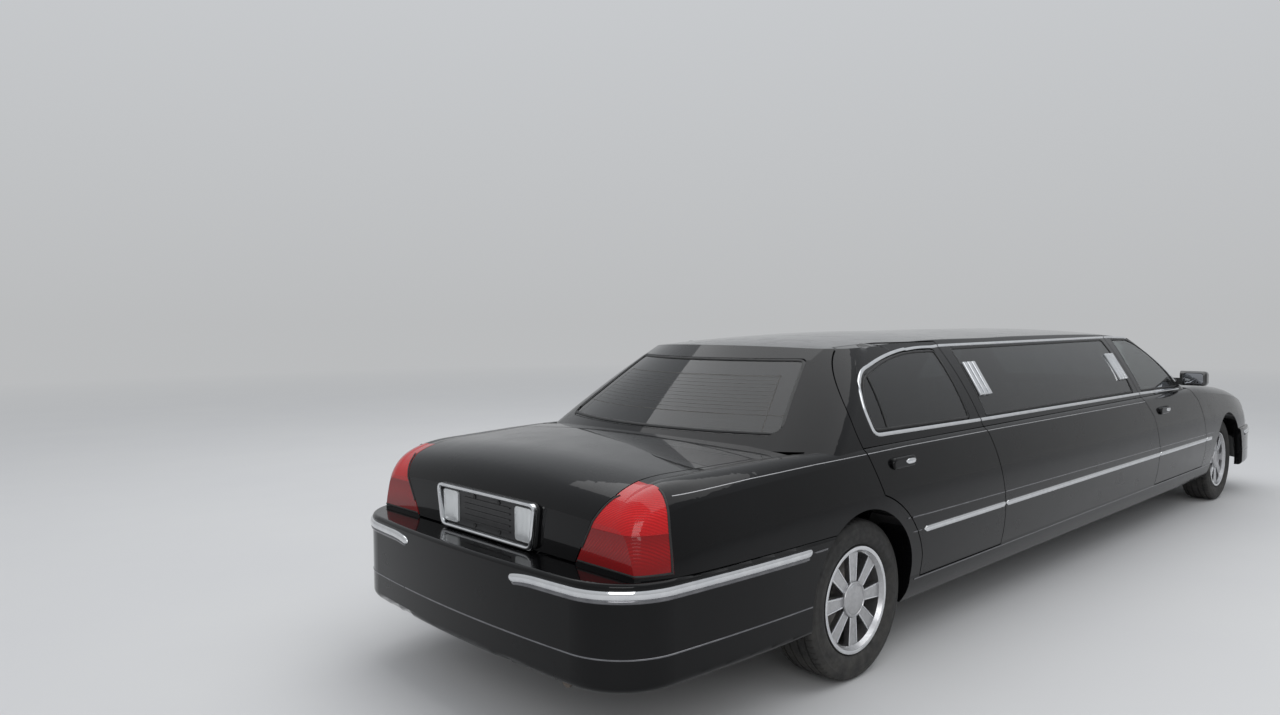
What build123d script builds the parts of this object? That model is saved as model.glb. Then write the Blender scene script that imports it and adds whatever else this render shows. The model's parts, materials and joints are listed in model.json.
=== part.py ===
from build123d import *
import math
import os

os.makedirs("parts", exist_ok=True)

# Main sizes of the car, in mm: X runs forward, Y to its left, Z up from the ground
WHEELBASE = 5530
REAR_OVERHANG = 1449
FRONT_OVERHANG = 1030
HALF_WIDTH = 988
HEIGHT = 1499
LENGTH = REAR_OVERHANG + WHEELBASE + FRONT_OVERHANG
REAR_AXLE = REAR_OVERHANG - LENGTH / 2
FRONT_AXLE = REAR_AXLE + WHEELBASE

# Wheels and tyres
TYRE_RADIUS = 351
TYRE_WIDTH = 225
RIM_RADIUS = 222
RIM_LIP = 12
REAR_TRACK = 1664
FRONT_TRACK = 1610
SPOKES = 8
SPOKE_WIDTH = 62

# Body shell
SILL_BOTTOM = 250
SILL_TOP = 362
WIDEST_Z = 690
BELT_Z = 1012
ROOF_SEAM_Z = 1452
ARCH_RADIUS = 402
SHUT_GAP = 6
DOOR_THICK = 110
PILLAR_THICK = 42
DECK_THICK = 26
FLOOR_THICK = 28
SHUT_SLANT = 0.35
GLASS_THICK = 5
GLASS_INSET = 6
END_THICK = 60
END_RAKE = 1.5
INNER_Y = 540
OUTER_Y = 1060
FIT = 0.3

# Bumpers
BUMPER_TOP = 684
BUMPER_BOTTOM = 300
BUMPER_THICK = 60
FRONT_BUMPER_TOP = 590
FRONT_BUMPER_BOTTOM = 262

# Door hinges, one pair of goose-neck arms to each door
HINGE_Y = 955
HINGE_PIN_R = 6
HINGE_PIN_PLAY = 0.05
HINGE_EYE_R = 13
HINGE_EYE_H = 40
HINGE_POCKET_H = 64
HINGE_REACH = (56, 72)
HINGE_ARM_T = 14
HINGE_HEIGHTS = (560, 720)
REAR_HINGE_X = REAR_AXLE + 1362
FRONT_HINGE_X = FRONT_AXLE - 622


def aft(distance):
    """X of a station measured forward from the rear axle."""
    return REAR_AXLE + distance


def fore(distance):
    """X of a station measured forward from the front axle."""
    return FRONT_AXLE + distance


# Side of the body: height, and how far the skin lies in from its widest line
SIDE_PROFILE = [
    (250, 83), (300, 53), (375, 35), (500, 15), (600, 4), (690, 0), (780, 2), (850, 12),
    (920, 32), (960, 46), (1012, 72), (1100, 114), (1200, 170), (1270, 215), (1340, 266),
    (1400, 316), (1440, 360), (1480, 403),
]


def skin_y(z):
    """Half-width of the cabin's skin at height z."""
    rows = SIDE_PROFILE
    for (z_low, in_low), (z_high, in_high) in zip(rows, rows[1:]):
        if z <= z_high:
            share = max(0, (z - z_low) / (z_high - z_low))
            return HALF_WIDTH - in_low - share * (in_high - in_low)
    return HALF_WIDTH - rows[-1][1]


# Body sections: station, half-width, shoulder height and inset, edge height and inset, centre height
BODY_ROWS = [
    (aft(-1274), 880, 790, 30, 850, 110, 872),
    (aft(-1235), 908, 850, 36, 918, 140, 948),
    (aft(-1150), 938, 895, 42, 968, 170, 1000),
    (aft(-900), 968, 930, 45, 1000, 190, 1032),
    (aft(-450), 982, 952, 46, 1013, 165, 1050),
    (aft(-120), 987, 958, 46, 1013, 125, 1050),
    (aft(200), HALF_WIDTH, 960, 46, 1013, 108, 1048),
    (aft(900), HALF_WIDTH, 960, 46, 1013, 108, 1048),
    ((aft(900) + fore(-1700)) / 2, HALF_WIDTH, 960, 46, 1013, 108, 1048),
    (fore(-1700), HALF_WIDTH, 960, 46, 1013, 108, 1048),
    (fore(-1000), HALF_WIDTH, 960, 46, 1013, 108, 1048),
    (fore(-650), 987, 956, 46, 1010, 130, 1042),
    (fore(-200), 983, 925, 46, 982, 170, 1012),
    (fore(250), 972, 880, 45, 935, 190, 964),
    (fore(600), 945, 822, 42, 870, 180, 896),
    (fore(790), 905, 772, 36, 812, 150, 834),
    (fore(872), 856, 730, 30, 762, 110, 780),
]
SILL_INSET = 83
SILL_TURN_INSET = 35
SILL_TURN_Z = 375

# Glasshouse outlines: height, half-width, rear centre and front centre
GLASSHOUSE_ROWS = [
    (930, 940, aft(-612), fore(-632)),
    (1100, 874, aft(-386), fore(-835)),
    (1270, 773, aft(-165), fore(-1040)),
    (1400, 672, aft(5), fore(-1196)),
    (1500, 575, aft(136), fore(-1316)),
]
CORNER_SHARE = 0.8
REAR_BOW = 165
REAR_CORNER = 430
FRONT_BOW = 120
FRONT_CORNER = 320

# Roof: station and centre height, with the fall of its crown to each side
ROOF_ROWS = [
    (aft(-760), 1210),
    (aft(-420), 1330),
    (aft(-100), 1420),
    (aft(300), 1469),
    (aft(900), 1493),
    (aft(1500), 1498),
    ((aft(1500) + fore(-2900)) / 2, HEIGHT),
    (fore(-2900), 1498),
    (fore(-2300), 1493),
    (fore(-1700), 1473),
    (fore(-1250), 1432),
    (fore(-850), 1360),
    (fore(-450), 1262),
]
ROOF_FALL = 106
ROOF_BASE_Z = 900


def across(x):
    """Plane square to the car's length: its x is the car's Y and its y is Z."""
    return Plane(origin=(x, 0, 0), x_dir=(0, 1, 0), z_dir=(1, 0, 0))


def body_section(row, side_in, top_in, floor_in):
    """Sketch one closed section of the lower body, moved in by the given walls."""
    x, half, side_z, side_inset, edge_z, edge_inset, centre_z = row
    half = half - side_in
    low = SILL_BOTTOM + floor_in
    sill = (half - SILL_INSET, low)
    turn = (half - SILL_TURN_INSET, SILL_TURN_Z)
    sill_mid = (half - 0.64 * SILL_INSET, low + 0.4 * (SILL_TURN_Z - low))
    wide = (half, WIDEST_Z)
    side = (half - side_inset, side_z - 0.5 * top_in)
    edge = (half - edge_inset, edge_z - top_in)
    edge_mid = (half - side_inset - 0.32 * (edge_inset - side_inset), edge_z - top_in - 0.30 * (edge_z - side_z))
    crown = (0, centre_z - top_in)
    with BuildSketch(across(x)) as section:
        with BuildLine():
            Line((-sill[0], low), sill)
            ThreePointArc(sill, sill_mid, turn)
            ThreePointArc(turn, wide, side)
            ThreePointArc(side, edge_mid, edge)
            ThreePointArc(edge, crown, (-edge[0], edge[1]))
            ThreePointArc((-edge[0], edge[1]), (-edge_mid[0], edge_mid[1]), (-side[0], side[1]))
            ThreePointArc((-side[0], side[1]), (-wide[0], wide[1]), (-turn[0], turn[1]))
            ThreePointArc((-turn[0], turn[1]), (-sill_mid[0], sill_mid[1]), (-sill[0], low))
        make_face()
    return section.sketch


def lower_body(side_in=0, top_in=0, floor_in=0, end_in=0):
    """Solid inside the lower body's skin, up to the deck, the belt and the hood."""
    rows = [(BODY_ROWS[0][0] + end_in, *BODY_ROWS[0][1:])]
    rows += BODY_ROWS[1:-1]
    rows += [(BODY_ROWS[-1][0] - end_in, *BODY_ROWS[-1][1:])]
    sections = [body_section(row, side_in, top_in, floor_in) for row in rows]
    with BuildPart() as body:
        loft(sections)
    return body.part


def glasshouse_outline(row, inset):
    """Sketch one level of the glasshouse: bowed glass at both ends and tangent corners."""
    z, half, rear, front = row
    half = half - inset
    rear = rear + inset * END_RAKE
    front = front - inset * END_RAKE
    rear_side = (rear + REAR_CORNER, half)
    rear_corner = (rear + REAR_BOW, half * CORNER_SHARE)
    front_side = (front - FRONT_CORNER, half)
    front_corner = (front - FRONT_BOW, half * CORNER_SHARE)
    with BuildSketch(Plane.XY.offset(z)) as outline:
        with BuildLine():
            ThreePointArc((rear_corner[0], -rear_corner[1]), (rear, 0), rear_corner)
            TangentArc([rear_side, rear_corner], tangent=(-1, 0))
            Line(rear_side, front_side)
            TangentArc([front_side, front_corner], tangent=(1, 0))
            ThreePointArc(front_corner, (front, 0), (front_corner[0], -front_corner[1]))
            TangentArc([(front_side[0], -front_side[1]), (front_corner[0], -front_corner[1])], tangent=(1, 0))
            Line((front_side[0], -front_side[1]), (rear_side[0], -rear_side[1]))
            TangentArc([(rear_side[0], -rear_side[1]), (rear_corner[0], -rear_corner[1])], tangent=(-1, 0))
        make_face()
    return outline.sketch


def roof_section(row, inset):
    """Sketch one section under the crowned roof."""
    x, centre_z = row
    edge_z = centre_z - ROOF_FALL - inset
    with BuildSketch(across(x)) as section:
        with BuildLine():
            Line((-HALF_WIDTH, ROOF_BASE_Z), (HALF_WIDTH, ROOF_BASE_Z))
            Line((HALF_WIDTH, ROOF_BASE_Z), (HALF_WIDTH, edge_z))
            ThreePointArc((HALF_WIDTH, edge_z), (0, centre_z - inset), (-HALF_WIDTH, edge_z))
            Line((-HALF_WIDTH, edge_z), (-HALF_WIDTH, ROOF_BASE_Z))
        make_face()
    return section.sketch


def glasshouse(inset=0):
    """Solid inside the glasshouse's skin."""
    roof_sections = [roof_section(row, inset) for row in ROOF_ROWS]
    outlines = [glasshouse_outline(row, inset) for row in GLASSHOUSE_ROWS]
    with BuildPart() as under_roof:
        loft(roof_sections)
    with BuildPart() as house:
        loft(outlines)
        add(under_roof.part, mode=Mode.INTERSECT)
    return house.part


def at_skin(x, z):
    """Point of a slanted side outline that meets the skin at x and z."""
    return (x + SHUT_SLANT * (skin_y(z) - INNER_Y), z)


def side_prism(outline):
    """Right-hand prism through the side of the body, slanted so that doors swing out freely."""
    reach = OUTER_Y - INNER_Y
    with BuildPart() as prism:
        extrude(outline, amount=reach * math.hypot(1, SHUT_SLANT), dir=(-SHUT_SLANT, -1, 0))
    return prism.part


def side_outline(grow=0, **outline):
    """Sketch a closed side outline from its start, straight runs and arcs, grown by a gap."""
    with BuildSketch(Plane.XZ.offset(INNER_Y)) as sketch:
        with BuildLine():
            here = at_skin(*outline["start"])
            for step in outline["steps"]:
                points = [at_skin(*point) for point in step]
                if len(points) == 1:
                    Line(here, points[0])
                else:
                    ThreePointArc(here, *points)
                here = points[-1]
            Line(here, at_skin(*outline["start"]))
        make_face()
        if outline.get("round"):
            fillet(sketch.vertices(), outline["round"])
        if grow:
            offset(amount=grow, kind=Kind.INTERSECTION)
    return sketch.sketch


DOOR_FOOT = SILL_TOP + SHUT_GAP
DOOR_HEAD = ROOF_SEAM_Z - SHUT_GAP
REAR_DOOR = {
    "start": (aft(495), DOOR_FOOT),
    "steps": [
        [(aft(1329), DOOR_FOOT)],
        [(aft(1303), 620), (aft(1216), 955)],
        [(aft(1190), BELT_Z)],
        [(aft(1184), 1240)],
        [(aft(1198), DOOR_HEAD)],
        [(aft(345), DOOR_HEAD)],
        [(aft(104), 1250), (aft(68), BELT_Z)],
        [(aft(148), 798)],
        [(aft(374), 649), (aft(483), 467)],
    ],
}
FRONT_DOOR = {
    "start": (fore(-1762), DOOR_FOOT),
    "steps": [
        [(fore(-644), DOOR_FOOT)],
        [(fore(-678), 640), (fore(-782), 905)],
        [(fore(-900), 1000)],
        [(fore(-1060), 1085)],
        [(fore(-1290), 1285), (fore(-1620), DOOR_HEAD)],
        [(fore(-1925), DOOR_HEAD)],
        [(fore(-1985), 1180), (fore(-1965), BELT_Z)],
        [(fore(-1836), 860)],
        [(fore(-1775), 640)],
    ],
}
REAR_DOOR_WINDOW = {
    "start": (aft(205), 1062),
    "steps": [
        [(aft(1095), 1052)],
        [(aft(1128), 1412)],
        [(aft(700), 1412)],
        [(aft(300), 1330), (aft(205), 1150)],
    ],
    "round": 24,
}
FRONT_DOOR_WINDOW = {
    "start": (fore(-1915), 1042),
    "steps": [
        [(fore(-1110), 1032)],
        [(fore(-1190), 1152)],
        [(fore(-1330), 1300), (fore(-1545), 1404)],
        [(fore(-1838), 1412)],
        [(fore(-1905), 1250)],
    ],
    "round": 18,
}
STRETCH_WINDOW = {
    "start": (aft(1262), 1050),
    "steps": [
        [(fore(-2060), 1042)],
        [(fore(-2010), 1412)],
        [(aft(1300), 1412)],
    ],
    "round": 24,
}


def whole_box(x_low, x_high, z_low, z_high, y_low=-1100, y_high=1100):
    """Block between two stations and two heights, across the car unless sides are given."""
    with BuildPart() as block:
        with BuildSketch(Plane.XY.offset(z_low)):
            with Locations(((x_low + x_high) / 2, (y_low + y_high) / 2)):
                Rectangle(x_high - x_low, y_high - y_low)
        extrude(amount=z_high - z_low)
    return block.part


def cut_from(solid, *tools):
    """Solid with each tool taken away."""
    with BuildPart() as result:
        add(solid)
        for tool in tools:
            add(tool, mode=Mode.SUBTRACT)
    return result.part


def common(solid, *tools):
    """What the solid shares with every tool."""
    with BuildPart() as result:
        add(solid)
        for tool in tools:
            add(tool, mode=Mode.INTERSECT)
    return result.part


def joined(*solids):
    """Solids fused into one piece."""
    with BuildPart() as result:
        for solid in solids:
            add(solid)
    return result.part


def both_sides(right):
    """A right-hand piece with its mirrored twin on the left."""
    with BuildPart() as pair:
        add(right)
        mirror(right, about=Plane.XZ)
    return pair.part


def left_of(right):
    """The mirrored twin of a right-hand piece."""
    with BuildPart() as twin:
        mirror(right, about=Plane.XZ)
    return twin.part


def save(part, label):
    """Label a finished piece and write it to its own file."""
    part.label = label
    export_step(part, f"parts/{label}.step")


LOWER_SHELL = cut_from(lower_body(), lower_body(DOOR_THICK, DECK_THICK, FLOOR_THICK, END_THICK))
HOUSE_SHELL = cut_from(glasshouse(), glasshouse(PILLAR_THICK))
GLASS_SHELL = cut_from(glasshouse(GLASS_INSET), glasshouse(GLASS_INSET + GLASS_THICK))

# Wheel houses
LINER_THICK = 12
LINER_OUTER_Y = 900
LINER_FOOT = 480
REAR_LINER_Y = 690
LINER_ROOM = 8
FRONT_LINER_Y = 492

# Whole-height limits used when a panel is cut out of the shell
LOW = 100
HIGH = 1600
MID_REAR_DOOR = aft(900)
MID_FRONT_DOOR = fore(-1720)

# The roof panel reaches in over the side rails to this half-width and down to this height
ROOF_HALF = 570
ROOF_UNDER_Z = 1380

# Clear half-width of the cabin just under the belt
CABIN_HALF = 840


def wheel_arch(axle):
    """Cylinder through the whole car that opens the wheel arches at one axle."""
    with BuildPart() as arch:
        with BuildSketch(Plane.XZ.offset(-OUTER_Y)):
            with Locations((axle, TYRE_RADIUS)):
                Circle(ARCH_RADIUS)
        extrude(amount=2 * OUTER_Y)
    return arch.part


def pane(window):
    """Glass that fills a side window with a fitting clearance."""
    return cut_from(common(GLASS_SHELL, side_prism(side_outline(-FIT, **window))), roof_space)


def end_prism(half_low, z_low, half_high, z_high, x_from, x_to, grow=0, corner=40):
    """Prism along the car through the windshield or the rear window."""
    with BuildPart() as prism:
        with BuildSketch(across(x_from)) as face:
            with BuildLine():
                Polyline((-half_low, z_low), (half_low, z_low), (half_high, z_high), (-half_high, z_high), close=True)
            make_face()
            fillet(face.vertices(), corner)
            if grow:
                offset(amount=grow, kind=Kind.INTERSECTION)
        extrude(amount=x_to - x_from)
    return prism.part


def plan_prism(points, z_low, z_high, grow=0):
    """Upright prism from one half of a plan outline, mirrored across the car."""
    with BuildPart() as prism:
        with BuildSketch(Plane.XY.offset(z_low)):
            with BuildLine():
                Polyline(*points, *[(x, -y) for x, y in reversed(points)], close=True)
            make_face()
            if grow:
                offset(amount=grow, kind=Kind.INTERSECTION)
        extrude(amount=z_high - z_low)
    return prism.part


def wheel_house(axle, inner_y):
    """Liners over both wheels of one axle: a half drum and its inner wall, open below for the axle."""
    with BuildPart() as liner:
        with BuildSketch(Plane.XZ.offset(inner_y)):
            with Locations((axle, TYRE_RADIUS)):
                Circle(ARCH_RADIUS + LINER_ROOM + LINER_THICK)
                Circle(ARCH_RADIUS + LINER_ROOM, mode=Mode.SUBTRACT)
        extrude(amount=LINER_OUTER_Y - inner_y)
        with BuildSketch(Plane.XZ.offset(inner_y)):
            with Locations((axle, TYRE_RADIUS)):
                Circle(ARCH_RADIUS + LINER_ROOM + LINER_THICK)
        extrude(amount=LINER_THICK)
        add(whole_box(axle - 500, axle + 500, -LOW, LINER_FOOT, -OUTER_Y, 0), mode=Mode.SUBTRACT)
    return liner.part, left_of(liner.part)


def upright(x, y, z_low, height, radius):
    """Upright round bar."""
    with BuildPart() as bar:
        with BuildSketch(Plane.XY.offset(z_low)):
            with Locations((x, y)):
                Circle(radius)
        extrude(amount=height)
    return bar.part


def crosswise(x, y_low, y_high, z, radius):
    """Round bar lying across the car."""
    with BuildPart() as bar:
        with BuildSketch(Plane.XZ.offset(-y_high)):
            with Locations((x, z)):
                Circle(radius)
        extrude(amount=y_high - y_low)
    return bar.part


def lengthwise(x_low, x_high, y, z, radius):
    """Round bar lying along the car."""
    with BuildPart() as bar:
        with BuildSketch(across(x_low)):
            with Locations((y, z)):
                Circle(radius)
        extrude(amount=x_high - x_low)
    return bar.part


def hinge_arm(hinge_x, z):
    """Goose-neck arm of a right-hand door, from the eye round the pin to the door's front face."""
    reach = math.hypot(*HINGE_REACH)
    with BuildPart() as arm:
        with BuildSketch(Plane.XY.offset(z - HINGE_EYE_H / 2)):
            with Locations((hinge_x, -HINGE_Y)):
                Circle(HINGE_EYE_R)
            with Locations((hinge_x - HINGE_REACH[0] / 2, -HINGE_Y + HINGE_REACH[1] / 2)):
                Rectangle(reach, HINGE_ARM_T, rotation=-math.degrees(math.atan2(HINGE_REACH[1], HINGE_REACH[0])))
            with Locations((hinge_x, -HINGE_Y)):
                Circle(HINGE_PIN_R + HINGE_PIN_PLAY, mode=Mode.SUBTRACT)
        extrude(amount=HINGE_EYE_H)
    return arm.part


def swing_room(outline, hinge_x):
    """Round room about a door's hinge line, as wide at each height as the skin's shut line is far from it."""
    foot, arc, top = outline["steps"][:3]
    with BuildLine(Plane.XZ):
        edge = ThreePointArc(foot[0], *arc)
        above = Line(arc[-1], top[0])
    samples = [edge @ (share / 8) for share in range(9)] + [above @ (share / 3) for share in (1, 2, 3)]
    profile = [(math.hypot(point.X - hinge_x, skin_y(point.Z) - HINGE_Y), point.Z) for point in samples]
    with BuildPart() as room:
        with BuildSketch(Plane.XZ):
            with BuildLine():
                Polyline((0, profile[0][1]), *profile, (0, profile[-1][1]), close=True)
            make_face()
        revolve(axis=Axis.Z)
    return room.part.moved(Location((hinge_x, -HINGE_Y, 0)))


def hinge_pocket(hinge_x, z):
    """Recess in the pillar for one arm."""
    half = HINGE_POCKET_H / 2
    return whole_box(
        hinge_x - 90, hinge_x + HINGE_EYE_R + SHUT_GAP, z - half, z + half, -HINGE_Y - HINGE_EYE_R - SHUT_GAP, -HINGE_Y + 120
    )


def hinge_pins(hinge_x):
    """Pins that stand in the pockets of one pillar."""
    return [
        upright(hinge_x, -HINGE_Y, z - HINGE_POCKET_H / 2 - 2, HINGE_POCKET_H + 4, HINGE_PIN_R) for z in HINGE_HEIGHTS
    ]


def with_hinge_seats(panel, hinge_x):
    """Pillar with its pockets cut and their pins set in them, on the right-hand side."""
    pocketed = cut_from(panel, *[hinge_pocket(hinge_x, z) for z in HINGE_HEIGHTS])
    return joined(pocketed, *hinge_pins(hinge_x))


rear_door_hole = side_prism(side_outline(SHUT_GAP, **REAR_DOOR))
front_door_hole = side_prism(side_outline(SHUT_GAP, **FRONT_DOOR))
rear_arch = wheel_arch(REAR_AXLE)
front_arch = wheel_arch(FRONT_AXLE)

# Windshield and rear window: half-widths and heights of their openings, seen along the car
WINDSHIELD = (712, 1056, 535, 1402)
REAR_WINDOW = (716, 1070, 552, 1388)
windshield_hole = end_prism(*WINDSHIELD, fore(-1700), fore(-500))
rear_window_hole = end_prism(*REAR_WINDOW, aft(-700), aft(300))

# Lid outlines in plan, with the lids' leaning edges at the hinges and the decklid's flare seen from behind
DECKLID_FRONT = aft(-500)
DECKLID = [(DECKLID_FRONT + 120, 798), (DECKLID_FRONT, 792), (aft(-800), 752), (aft(-1100), 712), (aft(-1310), 704)]
DECKLID_FLARE = [(556, 684), (704, 944), (840, 962), (840, 1200)]
HOOD_REAR = fore(-690)
HOOD_NOSE = fore(900)
HOOD = [(HOOD_NOSE, 560), (fore(700), 640), (fore(300), 716), (fore(-300), 752), (HOOD_REAR - 120, 768)]
DECKLID_FOOT = 690
HOOD_FOOT_Z = 752
LID_EDGE_RUN = 140


def leaning(x, z, toward, grow=0):
    """Wide prism on one side of a 45-degree plane that passes x at height z and leans toward a lid."""
    points = [
        (x - toward * LID_EDGE_RUN, z + LID_EDGE_RUN),
        (x + toward * (z - DECKLID_FOOT + LID_EDGE_RUN), DECKLID_FOOT - LID_EDGE_RUN),
        (x + toward * WHEELBASE / 2, DECKLID_FOOT - LID_EDGE_RUN),
        (x + toward * WHEELBASE / 2, z + LID_EDGE_RUN),
    ]
    with BuildPart() as prism:
        with BuildSketch(Plane.XZ.offset(-OUTER_Y)):
            with BuildLine():
                Polyline(*points, close=True)
            make_face()
            if grow:
                offset(amount=grow, kind=Kind.INTERSECTION)
        extrude(amount=2 * OUTER_Y)
    return prism.part


def flared(half_points, x_from, x_to, grow=0):
    """Prism along the car from one half of an outline seen from behind: half-width and height."""
    with BuildPart() as prism:
        with BuildSketch(across(x_from)):
            with BuildLine():
                Polyline(*half_points, *[(-y, z) for y, z in reversed(half_points)], close=True)
            make_face()
            if grow:
                offset(amount=grow, kind=Kind.INTERSECTION)
        extrude(amount=x_to - x_from)
    return prism.part


def decklid_space(grow=0):
    """Room of the decklid, grown by a gap for its opening."""
    return common(
        plan_prism(DECKLID, DECKLID_FOOT - grow, HIGH, grow),
        leaning(DECKLID_FRONT, BODY_ROWS[4][6], -1, grow),
        flared(DECKLID_FLARE, aft(-1500), aft(-300), grow),
    )


def hood_space(grow=0):
    """Room of the hood, grown by a gap for its opening."""
    return common(plan_prism(HOOD, HOOD_FOOT_Z - grow, HIGH, grow), leaning(HOOD_REAR, BODY_ROWS[11][6], 1, grow))


decklid_hole = decklid_space(SHUT_GAP)
hood_hole = hood_space(SHUT_GAP)
cabin_space = whole_box(aft(-360), fore(-770), BELT_Z - 60, HIGH, -CABIN_HALF, CABIN_HALF)
roof_space = joined(
    whole_box(aft(-700), fore(-500), ROOF_SEAM_Z, HIGH),
    whole_box(aft(-700), fore(-500), ROOF_UNDER_Z, HIGH, -ROOF_HALF, ROOF_HALF),
)

# Tail lamp and headlamp edges on the body's side
LAMP_FOOT = BUMPER_TOP + 10
TAIL_LAMP = [
    (aft(-1060), 1100),
    (aft(-1092), 1005),
    (aft(-1118), 930),
    (aft(-1134), 830),
    (aft(-1140), LAMP_FOOT),
    (aft(-1400), LAMP_FOOT),
    (aft(-1400), 1100),
]
HEADLAMP_FOOT = FRONT_BUMPER_TOP
HEADLAMP_TOP = HOOD_FOOT_Z - SHUT_GAP
HEADLAMP_SIDE = fore(640)
HEADLAMP_INNER = 336


def side_block(points, grow=0):
    """Straight prism through the right-hand side from a polygon in X and Z."""
    with BuildPart() as block:
        with BuildSketch(Plane.XZ):
            with BuildLine():
                Polyline(*points, close=True)
            make_face()
            if grow:
                offset(amount=grow, kind=Kind.INTERSECTION)
        extrude(amount=OUTER_Y)
    return block.part


tail_lamp_hole = side_block(TAIL_LAMP)
headlamp_block = whole_box(HEADLAMP_SIDE, fore(1000), HEADLAMP_FOOT, HEADLAMP_TOP, -OUTER_Y, -HEADLAMP_INNER)

# Lid hinges: pin station and height, arm run under the lid, arm depth and arm end above the pin
DECKLID_HINGE = (DECKLID_FRONT + 80, 1010, -150, -110, 14)
HOOD_HINGE = (HOOD_REAR - 66, 996, 130, -80, 26)
LID_HINGE_Y = 300
LID_EYE_WIDTH = 20
LID_ARM_T = 18
LID_PLATE_T = 8
LID_PLATE_PLAY = 0.5
LID_WELL = 5
LID_PLATE_DROP = 22
LID_PLATE_RISE = 24


def lid_arm(hinge):
    """Goose-neck arm under the right-hand half of a lid, from its eye to the lid's skin."""
    x, z, run, drop, rise = hinge
    with BuildPart() as arm:
        with BuildSketch(Plane.XZ.offset(LID_HINGE_Y - LID_EYE_WIDTH / 2)):
            with BuildLine() as path:
                Polyline((x, z), (x, z + drop), (x + run, z + drop), (x + run, z + rise))
            trace(line_width=LID_ARM_T)
            with Locations((x, z)):
                Circle(HINGE_EYE_R)
                Circle(HINGE_PIN_R + HINGE_PIN_PLAY, mode=Mode.SUBTRACT)
        extrude(amount=LID_EYE_WIDTH)
    return arm.part


def lid_wells(hinge):
    """Wells in the panel over both eyes of one lid."""
    x, z, run, drop, rise = hinge
    reach = HINGE_EYE_R + LID_WELL
    half = LID_EYE_WIDTH / 2 + LID_PLATE_PLAY
    wells = []
    for y in (-LID_HINGE_Y, LID_HINGE_Y):
        wells.append(whole_box(x - reach, x + reach, z + drop, z + reach, y - half, y + half))
    return wells


def lid_clevises(hinge):
    """Plates and pin that carry both eyes of one lid."""
    x, z, run, drop, rise = hinge
    inner = LID_EYE_WIDTH / 2 + LID_PLATE_PLAY
    outer = inner + LID_PLATE_T
    pieces = []
    for y in (-LID_HINGE_Y, LID_HINGE_Y):
        for low, high in ((y - outer, y - inner), (y + inner, y + outer)):
            pieces.append(whole_box(x - HINGE_EYE_R, x + HINGE_EYE_R, z - LID_PLATE_DROP, z + LID_PLATE_RISE, low, high))
        pieces.append(crosswise(x, y - outer, y + outer, z, HINGE_PIN_R))
    return pieces


# Rear quarters with their pillars, deck sides and wheel arches
quarter_low = common(LOWER_SHELL, whole_box(aft(-1400), MID_REAR_DOOR, SILL_TOP, HIGH))
quarter_low = cut_from(
    quarter_low,
    rear_door_hole,
    mirror(rear_door_hole, about=Plane.XZ),
    whole_box(aft(-330), MID_REAR_DOOR, BELT_Z, HIGH),
    cabin_space,
)
quarter_high = common(HOUSE_SHELL, whole_box(aft(-1400), MID_REAR_DOOR, BELT_Z - 22, ROOF_SEAM_Z))
quarter_high = cut_from(
    quarter_high,
    whole_box(aft(-1400), aft(-100), LOW, BELT_Z + 4, -CABIN_HALF, CABIN_HALF),
    rear_door_hole,
    mirror(rear_door_hole, about=Plane.XZ),
    rear_window_hole,
    roof_space,
)
quarter_low = cut_from(quarter_low, rear_arch)
rear_quarters = joined(quarter_low, quarter_high, *wheel_house(REAR_AXLE, REAR_LINER_Y))
rear_quarters = cut_from(
    rear_quarters,
    decklid_hole,
    tail_lamp_hole,
    mirror(tail_lamp_hole, about=Plane.XZ),
    whole_box(aft(-1400), aft(-100), LOW, BUMPER_TOP),
    *lid_wells(DECKLID_HINGE),
)
rear_quarters = joined(rear_quarters, *lid_clevises(DECKLID_HINGE))
save(rear_quarters, "rear_quarters")

# Tail lamps in the corners between the lid and the quarters
tail_lamp_right = common(LOWER_SHELL, side_block(TAIL_LAMP, -FIT))
tail_lamp_right = cut_from(tail_lamp_right, decklid_hole)
tail_lamps = both_sides(tail_lamp_right)
save(tail_lamps, "tail_lamps")

# Side panels of the stretch, with the pillars at both ends and the long window's frame
stretch_low = common(LOWER_SHELL, whole_box(MID_REAR_DOOR, MID_FRONT_DOOR, SILL_TOP, BELT_Z - 6, -OUTER_Y, 0))
stretch_high = common(HOUSE_SHELL, whole_box(MID_REAR_DOOR, MID_FRONT_DOOR, BELT_Z - 6, ROOF_SEAM_Z, -OUTER_Y, 0))
stretch_side = cut_from(
    joined(cut_from(stretch_low, cabin_space), cut_from(stretch_high, roof_space)),
    rear_door_hole,
    front_door_hole,
    side_prism(side_outline(**STRETCH_WINDOW)),
)
stretch_side = with_hinge_seats(stretch_side, REAR_HINGE_X)
stretch_sides = both_sides(stretch_side)
save(stretch_sides, "stretch_sides")
save(both_sides(pane(STRETCH_WINDOW)), "stretch_windows")

# Roof, down to the seam above the doors
roof = cut_from(common(HOUSE_SHELL, roof_space), windshield_hole, rear_window_hole)
save(roof, "roof_panel")

# Windshield frame: both front pillars and the cowl under the glass
frame_low = common(HOUSE_SHELL, whole_box(MID_FRONT_DOOR, fore(-400), BELT_Z - 22, ROOF_SEAM_Z))
windshield_frame = cut_from(
    frame_low,
    whole_box(fore(-1000), fore(-400), LOW, BELT_Z + 4, -CABIN_HALF, CABIN_HALF),
    front_door_hole,
    mirror(front_door_hole, about=Plane.XZ),
    windshield_hole,
    roof_space,
)
windshield = common(GLASS_SHELL, end_prism(*WINDSHIELD, fore(-1700), fore(-500), -FIT))
save(windshield, "windshield")
rear_window = common(GLASS_SHELL, end_prism(*REAR_WINDOW, aft(-700), aft(300), -FIT))
save(rear_window, "rear_window")

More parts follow.
